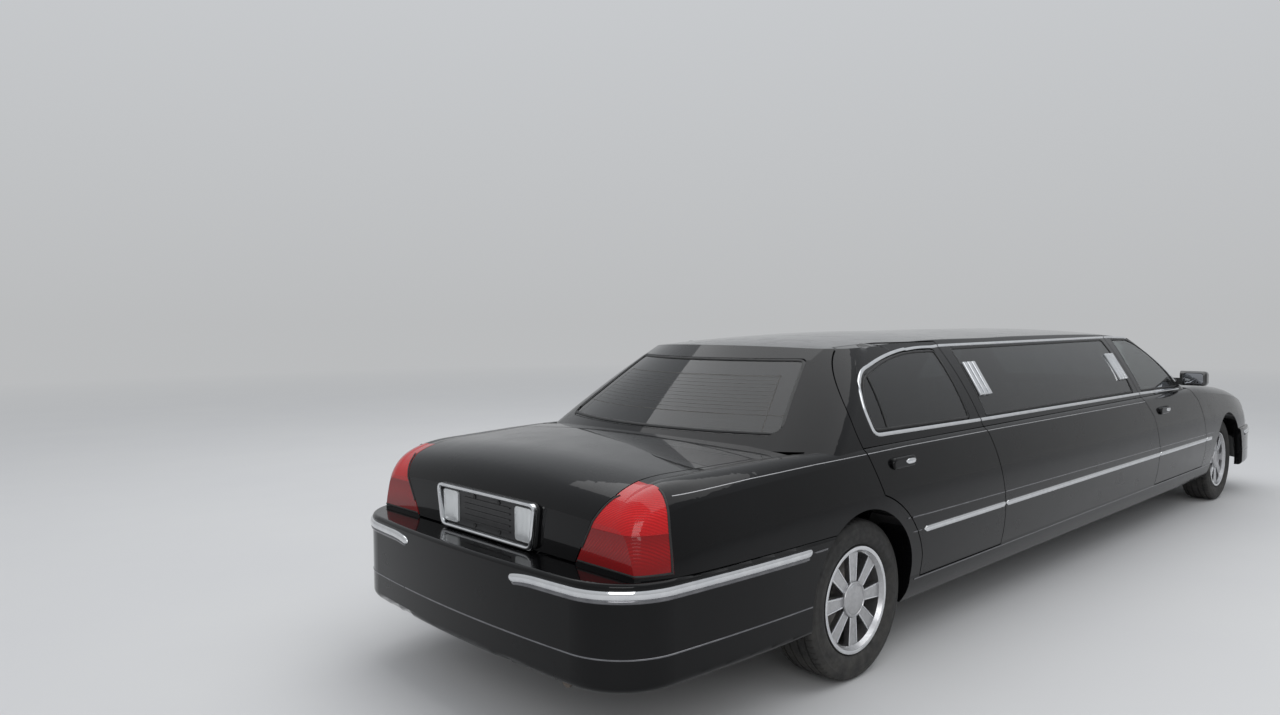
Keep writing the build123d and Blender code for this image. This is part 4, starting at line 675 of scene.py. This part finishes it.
for side, sign in SIDES.items():
    doors = [f"door_front_{side}", f"door_rear_{side}"]
    panes = {f"door_glass_{end}_{side}": f"door_{end}_{side}" for end in ("front", "rear")}
    panes["stretch_windows"] = "stretch_sides"
    skin = Skin(*SIDE_PANELS, *doors, *panes, sunk=panes)
    for label, path, section, look, taper in SIDE_STRIPS:
        strip(f"{label}_{side}", skin, side_rays(path, sign), section, look, taper=taper)
    for label, outline, node in (
        ("rear_door", REAR_DOOR_WINDOW, f"door_glass_rear_{side}"),
        ("front_door", FRONT_DOOR_WINDOW, f"door_glass_front_{side}"),
        ("stretch", STRETCH_WINDOW, "stretch_windows"),
    ):
        ring = grown(along(outline, soften=18, closed=True), -7)
        strip(f"{label}_gasket_{side}", Skin(node), side_rays(ring, sign), dome(13, 5.2),
              RUBBER, closed=True)
    corner_panel(f"rear_door_corner_{side}", skin, CORNER_EDGES, sign, f"door_rear_{side}")
    strip(f"rear_glass_bar_{side}", Skin(f"door_glass_rear_{side}"), side_rays(REAR_GLASS_BAR, sign),
          flat(14, 5.2), RUBBER)
    for label, (x, z, lean) in SLATS.items():
        spots = [(x, z - 60), (x, z + 60), (x - 50, z), (x + 50, z)]
        low, high, behind, before = (skin.hit(*ray)[0] for ray in side_rays(spots, sign))
        rise = (high - low).normalized()
        facing = (before - behind).normalized() * -sign
        foot = (low + high) / 2 - facing.cross(rise) * SLAT_SUNK
        for k in range(3):
            slat = along([
                (a * SLAT_HALF_WIDTH + sign * ((1 - k) * SLAT_PITCH - b * lean), b * SLAT_HALF_HEIGHT)
                for a, b in CORNERS
            ], step=4, soften=6, closed=True) / 1000
            slab(f"slat_{label}_{k}_{side}", slat, foot, facing, rise, SLAT_DEPTH, "chrome", "body",
                 ease=0.004, dish=0.002)
    for label, (x, z) in HANDLES.items():
        path = along([(x + 4, z + 2), (x + 92, z + 3)])
        strip(f"paddle_{label}_{side}", Skin(f"door_{label}_{side}"), side_rays(path, sign),
              dome(26, 6), "chrome", taper=0.03)

# Windshield and rear window: gaskets, and the rear one's heater lines and their border
WINDSHIELD = [(-712, 1056), (712, 1056), (535, 1402), (-535, 1402)]
REAR_GLASS = [(-716, 1070), (716, 1070), (552, 1388), (-552, 1388)]
HEATER_COUNT, HEATER_FOOT, HEATER_PITCH, HEATER_MARGIN = 10, 1166, 15.5, 82
for label, outline, direction in (("windshield", WINDSHIELD, -1), ("rear_window", REAR_GLASS, 1)):
    ring = grown(along(outline, soften=24, closed=True), -9)
    strip(f"{label}_gasket", Skin(label), end_rays(ring, direction), dome(18, 5.2), RUBBER, closed=True)
rear_skin = Skin("rear_window")
border = grown(along(REAR_GLASS, soften=40, closed=True), -78)
strip("heater_border", rear_skin, end_rays(border, 1), flat(4, 0.3, 0.4), HEATER, 2, closed=True)
(foot_half, foot), (top_half, top) = REAR_GLASS[1:3]
for k in range(HEATER_COUNT):
    z = HEATER_FOOT + HEATER_PITCH * k
    half = np.interp(z, (foot, top), (foot_half, top_half)) - HEATER_MARGIN
    strip(f"heater_line_{k}", rear_skin, end_rays(along([(-half, z), (half, z)]), 1),
          flat(1.6, 0.3, 0.4), HEATER, keep=6)

# Bumpers: chrome strips with a darker ridge, which fall beside the plate, and a thin line low down
REAR_PLAN = [
    (-180, 1040), (-800, 1030), (-1120, 1000), (-1330, 900), (-1450, 740), (-1495, 480), (-1510, 0),
]
FRONT_PLAN = [(5710, 1040), (6150, 1022), (6400, 930), (6540, 770), (6600, 500), (6620, 0)]
STRIP_INNER = 372
RIDGE_DROP = 23
FALL, FALL_LENGTH = 18, 0.16
CORNER_JUMP = 0.08
bumpers = Skin("rear_bumper", "front_bumper", "rear_quarters", "front_fenders")


def falling(level, length):
    """Height of a bumper strip by its run in metres, lower toward its inner end."""
    def height(run):
        share = min(1.0, max(0.0, (length - run) / FALL_LENGTH))
        return level - FALL * (1 - share) ** 2
    return height


for label, plan, toward, level, outer, low_level, low_outer in (
    ("rear", REAR_PLAN, -1, 646, -398, 423, -330), ("front", FRONT_PLAN, 1, 545, 5992, 380, 5930),
):
    for side, sign in SIDES.items():
        half = along([(x, sign * y) for x, y in plan], soften=110)
        chosen = [p for p in half if abs(p[1]) > STRIP_INNER and toward * (p[0] - outer) > 0]
        length = len(chosen) * STEP
        strip(f"{label}_bumper_chrome_{side}", bumpers, plan_rays(chosen, falling(level, length)),
              dome(34, 10.8), "chrome", keep=2, taper=0.03, jump=CORNER_JUMP)
        strip(f"{label}_bumper_ridge_{side}", bumpers,
              plan_rays(chosen[3:-3], falling(level - RIDGE_DROP, length)),
              dome(16, 7.5), DARK_CHROME, keep=2, taper=0.02, jump=CORNER_JUMP)
    whole = along([(x, -y) for x, y in plan] + [(x, y) for x, y in reversed(plan[:-1])], soften=110)
    for part, low_half, high_half, rise in (
        ("right", -1100, -418, 1.6), ("middle", -424, 424, 0.1), ("left", 418, 1100, 1.6),
    ):
        chosen = [p for p in whole if toward * (p[0] - low_outer) > 0 and low_half < p[1] < high_half]
        strip(f"{label}_bumper_low_line_{part}", bumpers, plan_rays(chosen, low_level),
              flat(6, rise, 1), DARK_CHROME, keep=2, jump=CORNER_JUMP)

# Tail lamps: black gasket on each edge and a line between their two parts
LAMP_FRONT_EDGE = along([(-1100, 985), (-1123, 930), (-1139, 830), (-1146, 704)], soften=30)
LAMP_INNER_EDGE = along([(560, 702), (700, 938), (716, 950)])
LAMP_PLAN = [(-1400, 500), (-1330, 900), (-1180, 1040), (-1080, 1060)]
LAMP_FOOT = 699
lamps = Skin("tail_lamps")
for side, sign in SIDES.items():
    corner = along([(x, sign * y) for x, y in LAMP_PLAN], soften=90)
    for label, rays, section in (
        ("front", side_rays(LAMP_FRONT_EDGE, sign), dome(10, 3)),
        ("inner", end_rays([(sign * (y + 12), z) for y, z in LAMP_INNER_EDGE], 1), dome(10, 3)),
        ("foot", plan_rays(corner, LAMP_FOOT), dome(9, 3)),
    ):
        strip(f"lamp_edge_{label}_{side}", lamps, rays, section, RUBBER, keep=2)
    strip(f"lamp_division_{side}", lamps, plan_rays(corner, LAMP_DIVISION), dome(4, 1), "lamp_red",
          keep=2)

# Plate surround: rounded chrome ring, and a dark panel with screw seats and two reversing lamps
FACING_BACK = ((0, -1, 0), (0, 0, 1))
PLATE_BODY = BODY_OF["plate_surround"]
PLATE_X = station(-1274) - 0.0003
PLATE_Z = 0.783
SCREW_TURNS = [math.tau * k / 24 for k in range(24)]
SCREW_SEAT = [(0.009 * math.cos(turn), 0.009 * math.sin(turn)) for turn in SCREW_TURNS]
ring_path = along([(-320, 698), (320, 698), (350, 868), (-350, 868)], soften=18, closed=True)
strip("plate_ring", Skin("plate_surround"), end_rays(ring_path, 1), dome(15.5, 9), "chrome", 2,
      closed=True)
for side, sign in SIDES.items():
    lens = [(-sign * a * 55, b * 68) for a, b in ((-1, -1), (1, -1), (1.12, 1), (-1, 1))]
    lens = along(lens, step=4, soften=12, closed=True) / 1000
    slab(f"reversing_lamp_{side}", lens, (PLATE_X - 0.0078, sign * 0.262, PLATE_Z), *FACING_BACK, 0.010,
         "lamp_clear", PLATE_BODY, ease=0.003, dish=0.003)
for k, (a, b) in enumerate(((-1, -1), (1, -1), (-1, 1), (1, 1))):
    slab(f"plate_screw_seat_{k}", SCREW_SEAT, (PLATE_X - 0.0085, a * 0.089, PLATE_Z + b * 0.0605),
         *FACING_BACK, 0.004, "trim_black", PLATE_BODY, ease=0.0015, dish=-0.002)

# Door mirrors: bezel and glass
MIRROR_X, MIRROR_Y, MIRROR_Z = station(FRONT_AXLE - 1066), 0.998, 1.096
for side, sign in SIDES.items():
    body = BODY_OF[f"door_mirror_{side}"]
    slab(f"mirror_bezel_{side}", rounded_box(0.150, 0.094, 0.03), (MIRROR_X, sign * MIRROR_Y, MIRROR_Z),
         *FACING_BACK, 0.014, "mirror_black", body, ease=0.004)
    slab(f"mirror_glass_{side}", rounded_box(0.136, 0.080, 0.024),
         (MIRROR_X - 0.0138, sign * MIRROR_Y, MIRROR_Z), *FACING_BACK, 0.0012, MIRROR, body, ease=0.0005)


# Wheels. Sections are distances outboard of the wheel's middle and radii, in mm
TYRE_WALL = [
    (86.8, 223.6), (87.8, 239.5), (98.5, 244), (104, 253), (108.5, 261), (111.2, 272), (112.2, 283),
    (111.8, 292), (111.2, 292.5), (110.7, 295), (109.8, 305), (107.8, 315), (108.2, 316.5), (106, 321.5),
    (102, 331), (97.5, 339), (91.5, 344.5),
]
TYRE_TREAD = [
    (82, 348), (70, 349), (69, 349), (68, 342), (60, 342), (59, 349.5), (40, 350), (28, 350.2), (27, 343),
    (19, 343), (18, 350.5), (0, 350.8),
]
CAP = [
    (70, 0), (70, 79), (85, 79), (88.5, 77), (90, 73.5), (89.3, 70), (87.2, 68.5), (87.2, 66.5),
    (90.5, 63), (91.8, 56), (92.6, 35), (92.8, 0),
]
RIM_LIP = [(93, 215), (97.5, 216.5), (99, 223), (99.2, 230), (98.5, 233.8), (95, 234.5), (93, 233.5)]
BRAKE_DISC = [
    (-20, 30), (-8, 30), (-8, 50), (-6, 70), (-6, 88), (-8, 90), (-8, 155), (-12, 155.5), (-12, 150),
    (-16, 150), (-16, 155.5), (-20, 155),
]
# The caliper's three parts: from and to outboard, inner and outer radius
CALIPER = ((0, 16, 100, 170), (-48, -26, 100, 170), (-48, 16, 160, 176))
CALIPER_EASE = 4
CALIPER_START, CALIPER_TURN, CALIPER_STEPS = 150, 8, 8
# A spoke's radii and half widths, and the section of the bright line on each of its edges
SPOKE_COUNT = 8
SPOKE_FACE = 77.5
SPOKE_HALVES = ((0.078, 0.0240), (0.150, 0.0295), (0.209, 0.0335))
SPOKE_EDGE = ((-0.0035, 0.0), (-0.0028, 0.0026), (0.0010, 0.0032), (0.0030, 0.0018), (0.0035, 0.0))
# The tread's pitches and their parts, its cuts between blocks and in ribs, and its skew in radians per mm
TREAD_PITCHES, PITCH_PARTS = 66, 5
BLOCK_DEPTH, SIPE_DEPTH = 5.5, 2.5
TREAD_FOOT, TREAD_SKEW = 340, 0.00012


def on_wheel(end, side, out, radius, angle):
    """Place by distance outboard and radius in mm and angle about a wheel's axis."""
    x, track = HALF_TRACKS[end]
    r = radius / 1000
    return x + r * math.cos(angle), SIDES[side] * (track + out / 1000), WHEEL_Z + r * math.sin(angle)


def turned(name, section, end, side, look, body, count=96, crease=32):
    """Round piece about a wheel's axis from its section."""
    mesh = bmesh.new()
    rings = []
    for k in range(count):
        rings.append([mesh.verts.new(on_wheel(end, side, *spot, math.tau * k / count)) for spot in section])
    for first, second in zip(rings, rings[1:] + rings[:1]):
        for j in range(len(section)):
            i = (j + 1) % len(section)
            if section[j][1] > 0 or section[i][1] > 0:
                mesh.faces.new((first[j], first[i], second[i], second[j]))
    bmesh.ops.remove_doubles(mesh, verts=mesh.verts, dist=1e-6)
    piece_of(mesh, name, look, body, crease)


def road_tyre(end, side):
    """Tyre with rings on its walls and a tread of ribs, sipes and shoulder blocks."""
    outer = TYRE_WALL + TYRE_TREAD
    section = [(-a, r) for a, r in outer] + [(a, r) for a, r in reversed(outer[:-1])]
    mesh = bmesh.new()
    rings = []
    for k in range(TREAD_PITCHES * PITCH_PARTS):
        angle = math.tau * k / (TREAD_PITCHES * PITCH_PARTS)
        cut = k % PITCH_PARTS == 0
        ring = []
        for across, radius in section:
            depth = 0
            if cut and 69.5 < abs(across) < 96:
                depth = BLOCK_DEPTH
            elif cut and radius > 348.5 and abs(across) > 28.5:
                depth = SIPE_DEPTH
            skew = abs(across) * TREAD_SKEW if radius > TREAD_FOOT else 0
            ring.append(mesh.verts.new(on_wheel(end, side, across, radius - depth, angle + skew)))
        rings.append(ring)
    loft(mesh, rings, closed=True)
    node = f"tyre_{end}_{side}"
    made = piece_of(mesh, f"road_{node}", "tyre_black", BODY_OF[node], crease=38)
    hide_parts(node)


def spoke_edges(end, side, body):
    """Bright lines on both edges of each spoke's face."""
    mesh = bmesh.new()
    centre = Vector(on_wheel(end, side, SPOKE_FACE, 0, 0))
    out = Vector((0, SIDES[side], 0))
    reach = SPOKE_EDGE[-1][0]
    for k in range(SPOKE_COUNT):
        angle = math.tau * k / SPOKE_COUNT
        ahead = Vector((math.cos(angle), 0, math.sin(angle)))
        across = Vector((-math.sin(angle), 0, math.cos(angle)))
        for edge in (-1, 1):
            loft(mesh, [
                [
                    mesh.verts.new(centre + ahead * radius + across * edge * (half - reach + a) + out * o)
                    for a, o in SPOKE_EDGE
                ]
                for radius, half in SPOKE_HALVES
            ])
    piece_of(mesh, f"spoke_edges_{end}_{side}", BRIGHT_ALLOY, body)


def caliper(end, side):
    """Brake caliper over the disc, on the part that doesn't turn."""
    mesh = bmesh.new()
    for low, high, inner, outer in CALIPER:
        middle = (inner + outer) / 2
        rings = []
        for k in range(CALIPER_STEPS + 1):
            angle = math.radians(CALIPER_START + CALIPER_TURN * k)
            ease = CALIPER_EASE if k in (0, CALIPER_STEPS) else 0
            rings.append([
                mesh.verts.new(on_wheel(end, side, *spot, angle))
                for spot in (
                    (low + ease, inner + ease), (low, middle), (low + ease, outer - ease),
                    (high - ease, outer - ease), (high, middle), (high - ease, inner + ease),
                )
            ])
        loft(mesh, rings)
    carrier = BODY_OF[f"knuckle_{side}" if end == "front" else "rear_quarters"]
    piece_of(mesh, f"brake_caliper_{end}_{side}", "cast_grey", carrier)


for end in HALF_TRACKS:
    for side in SIDES:
        body = BODY_OF[f"rim_{end}_{side}"]
        road_tyre(end, side)
        turned(f"wheel_cap_{end}_{side}", CAP, end, side, "alloy", body, crease=40)
        turned(f"rim_lip_{end}_{side}", RIM_LIP, end, side, BRIGHT_ALLOY, body, count=144)
        turned(f"brake_disc_{end}_{side}", BRAKE_DISC, end, side, DISC, body)
        spoke_edges(end, side, body)
        caliper(end, side)


# Seats: cushions with sewn channels on plain plinths. In metres: how far the filling may push a point out,
# and a channel's depth and width
PUFF_LIMIT = 0.014
CHANNEL_DEPTH, CHANNEL_WIDTH = 0.007, 0.016


def pad(name, corners, y_low, y_high, channels):
    """Crowned cushion between four side corners, front-low, front-high, back-high, back-low, in mm."""
    nu, nv, nw = 22, 16, 8
    power = 5
    corner = [Vector((station(x), 0, z / 1000)) for x, z in corners]
    mesh = bmesh.new()
    index = {}

    def place(*key):
        if key in index:
            return index[key]
        cu, cv, cw = (2 * (step / count) - 1 for step, count in zip(key, (nu, nv, nw)))
        scale = (abs(cu) ** power + abs(cv) ** power + abs(cw) ** power) ** (1 / power)
        top = max(abs(cu), abs(cv), abs(cw))
        s = top / scale if scale else 1
        u, v, w = (0.5 + 0.5 * c * s for c in (cu, cv, cw))
        spot = corner[0].lerp(corner[3], v).lerp(corner[1].lerp(corner[2], v), w)
        spot.y = (y_low + (y_high - y_low) * u) / 1000
        index[key] = mesh.verts.new(spot)
        return index[key]

    def face(*keys):
        mesh.faces.new([place(*key) for key in keys])

    for i in range(nu):
        for j in range(nv):
            face((i, j, 0), (i, j + 1, 0), (i + 1, j + 1, 0), (i + 1, j, 0))
            face((i, j, nw), (i + 1, j, nw), (i + 1, j + 1, nw), (i, j + 1, nw))
    for i in range(nu):
        for k in range(nw):
            face((i, 0, k), (i + 1, 0, k), (i + 1, 0, k + 1), (i, 0, k + 1))
            face((i, nv, k), (i, nv, k + 1), (i + 1, nv, k + 1), (i + 1, nv, k))
    for j in range(nv):
        for k in range(nw):
            face((0, j, k), (0, j, k + 1), (0, j + 1, k + 1), (0, j + 1, k))
            face((nu, j, k), (nu, j + 1, k), (nu, j + 1, k + 1), (nu, j, k + 1))
    made = piece_of(mesh, name, "leather_dark", "body", crease=180)
    puff(made)
    sew(made, channels, y_low / 1000, y_high / 1000)
    rounder = made.modifiers.new("rounder", "SUBSURF")
    rounder.levels = rounder.render_levels = 1
    return made


def puff(made):
    """Cloth simulation under inner pressure, with each point kept near where it was."""
    rest = np.array([v.co for v in made.data.vertices])
    cloth = made.modifiers.new("cloth", "CLOTH")
    settings = cloth.settings
    settings.use_pressure = True
    settings.uniform_pressure_force = 4
    settings.effector_weights.gravity = 0
    settings.tension_stiffness = settings.compression_stiffness = 12
    scene = bpy.context.scene
    for step in range(1, 16):
        scene.frame_set(step)
    evaluated = made.evaluated_get(bpy.context.evaluated_depsgraph_get())
    shift = np.array([v.co for v in evaluated.data.vertices]) - rest
    reach = np.linalg.norm(shift, axis=1, keepdims=True)
    shift *= np.minimum(1, PUFF_LIMIT / np.maximum(reach, 1e-9))
    made.modifiers.remove(cloth)
    made.data.vertices.foreach_set("co", (rest + shift).astype(np.float32).ravel())
    made.data.update()
    scene.frame_set(1)


def sew(made, channels, y_low, y_high):
    """Narrow sewn channels along the cushion, pressed into its surface."""
    for vertex in made.data.vertices:
        share = (vertex.co.y - y_low) / (y_high - y_low)
        away = abs(share * channels - round(share * channels)) / channels * (y_high - y_low)
        if 0.04 < share < 0.96:
            vertex.co -= vertex.normal * CHANNEL_DEPTH * math.exp(-(away / CHANNEL_WIDTH) ** 2)
    made.data.update()


def plinth(name, x_low, x_high, y_low, y_high):
    """Upholstered base under a cushion, on the floor."""
    outline = rounded_box((x_high - x_low) / 1000, (y_high - y_low) / 1000, 0.05)
    middle = ((station(x_low) + station(x_high)) / 2, (y_low + y_high) / 2000, PLINTH_FOOT / 1000)
    slab(name, outline, middle, (1, 0, 0), (0, 1, 0), (PLINTH_TOP - PLINTH_FOOT) / 1000, "trim_black", "body",
         ease=0.012)


# Side corners in mm above the ground and ahead of the front axle, or of the rear one for the bench
PLINTH_FOOT, PLINTH_TOP = 278.5, 345
FRONT_CUSHION = [(-1462, 340), (-1442, 462), (-1885, 440), (-1900, 330)]
FRONT_BACK = [(-2022, 440), (-2120, 925), (-2018, 905), (-1905, 452)]
HEADREST = [(-2052, 948), (-2072, 1076), (-2180, 1070), (-2148, 950)]
HEADREST_HALF = 125
BENCH_CUSHION = [(1132, 340), (1138, 462), (700, 436), (690, 330)]
BENCH_BACK = [(548, 490), (392, 1018), (518, 1026), (690, 446)]
BENCH_HALF = 652

for side, sign in SIDES.items():
    low, high = sorted((sign * 180, sign * 680))
    middle = sign * 430
    base, *_ = [
        pad(f"front_{label}_{side}", [(FRONT_AXLE + x, z) for x, z in corners], y_low, y_high, channels)
        for label, corners, y_low, y_high, channels in (
            ("cushion", FRONT_CUSHION, low, high, 5),
            ("back", FRONT_BACK, low, high, 5),
            ("headrest", HEADREST, middle - HEADREST_HALF, middle + HEADREST_HALF, 1),
        )
    ]
    plinth(f"front_plinth_{side}", FRONT_AXLE - 1950, FRONT_AXLE - 1490, low + 30, high - 30)
    if side == "right":
        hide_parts("front_seats")
bench = pad("rear_cushion", BENCH_CUSHION, -BENCH_HALF, BENCH_HALF, 12)
pad("rear_back", BENCH_BACK, -BENCH_HALF, BENCH_HALF, 12)
plinth("rear_plinth_right", 800, 1112, -640, -125)
plinth("rear_plinth_left", 800, 1112, 125, 640)
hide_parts("rear_seat")


# Studio: pale floor that fades into an even pale surround, and soft lights
HORIZON = (0.62, 0.63, 0.64)
WORLD_LEVEL = 0.8


def studio():
    floor_look = finish("studio_floor", (0.60,) * 3, (0.585, 0.585, 0.59), (0.7, 0.85), grain=0.6)
    tree = Tree(floor_look)
    output = next(node for node in tree.nodes if node.type == "OUTPUT_MATERIAL")
    surround = tree.nodes.new("ShaderNodeEmission")
    surround.inputs["Color"].default_value = (*HORIZON, 1)
    surround.inputs["Strength"].default_value = WORLD_LEVEL
    blend = tree.nodes.new("ShaderNodeMixShader")
    away = tree.math("SQRT", tree.math("ADD", tree.math("POWER", tree.x, 2), tree.math("POWER", tree.y, 2)))
    tree.links.new(tree.ramp(away, 7, 26), blend.inputs["Fac"])
    tree.links.new(tree.shader.outputs["BSDF"], blend.inputs[1])
    tree.links.new(surround.outputs["Emission"], blend.inputs[2])
    tree.links.new(blend.outputs["Shader"], output.inputs["Surface"])
    mesh = bmesh.new()
    bmesh.ops.create_circle(mesh, cap_ends=True, radius=60, segments=96)
    data = bpy.data.meshes.new("studio_floor")
    mesh.to_mesh(data)
    mesh.free()
    data.materials.append(floor_look)
    floor = placed("studio_floor", data)
    floor.location.z = -0.0005

    world = bpy.data.worlds.new("studio")
    bpy.context.scene.world = world
    world.use_nodes = True
    nodes, links = world.node_tree.nodes, world.node_tree.links
    ground = nodes["Background"]
    place = nodes.new("ShaderNodeTexCoord")
    split = nodes.new("ShaderNodeSeparateXYZ")
    links.new(place.outputs["Generated"], split.inputs["Vector"])
    ramp = nodes.new("ShaderNodeValToRGB")
    ramp.color_ramp.elements[0].color = (*HORIZON, 1)
    ramp.color_ramp.elements[1].position = 0.75
    ramp.color_ramp.elements[1].color = (0.84, 0.87, 0.91, 1)
    links.new(split.outputs["Z"], ramp.inputs["Fac"])
    links.new(ramp.outputs["Color"], ground.inputs["Color"])
    ground.inputs["Strength"].default_value = WORLD_LEVEL


def lamp(name, place, target, width, height, power):
    data = bpy.data.lights.new(name, "AREA")
    data.shape = "RECTANGLE"
    data.size, data.size_y = width, height
    data.energy = power
    made = placed(name, data)
    made.location = place
    made.rotation_euler = (Vector(target) - Vector(place)).to_track_quat("-Z", "Y").to_euler()


studio()
lamp("overhead", (0, 0, 9), (0, 0, 0), 9, 16, 560)
lamp("key", (-12, -9, 7.0), (0, 0, 0.4), 8, 6, 420)

# Camera at the photograph's place, with its focal length for an image 1280 pixels wide
CAMERA_PLACE = (-5.8935, -3.114, 1.578)
YAW, PITCH, ROLL = (math.radians(angle) for angle in (46.78, 2.41, -0.42))
FOCAL_PIXELS = 901.2
SENSOR = 36.0
ahead = Vector((math.cos(YAW) * math.cos(PITCH), math.sin(YAW) * math.cos(PITCH), -math.sin(PITCH)))
level = Vector((math.sin(YAW), -math.cos(YAW), 0))
upright = level.cross(ahead)
right = level * math.cos(ROLL) + upright * math.sin(ROLL)
up = upright * math.cos(ROLL) - level * math.sin(ROLL)
camera_data = bpy.data.cameras.new("camera")
camera_data.lens = FOCAL_PIXELS / 1280 * SENSOR
camera_data.sensor_width = SENSOR
camera_data.clip_end = 200
camera = placed("camera", camera_data)
camera.matrix_world = Matrix((
    (right.x, up.x, -ahead.x, CAMERA_PLACE[0]),
    (right.y, up.y, -ahead.y, CAMERA_PLACE[1]),
    (right.z, up.z, -ahead.z, CAMERA_PLACE[2]),
    (0, 0, 0, 1),
))
bpy.context.scene.camera = camera
bpy.context.scene.view_settings.view_transform = "Standard"
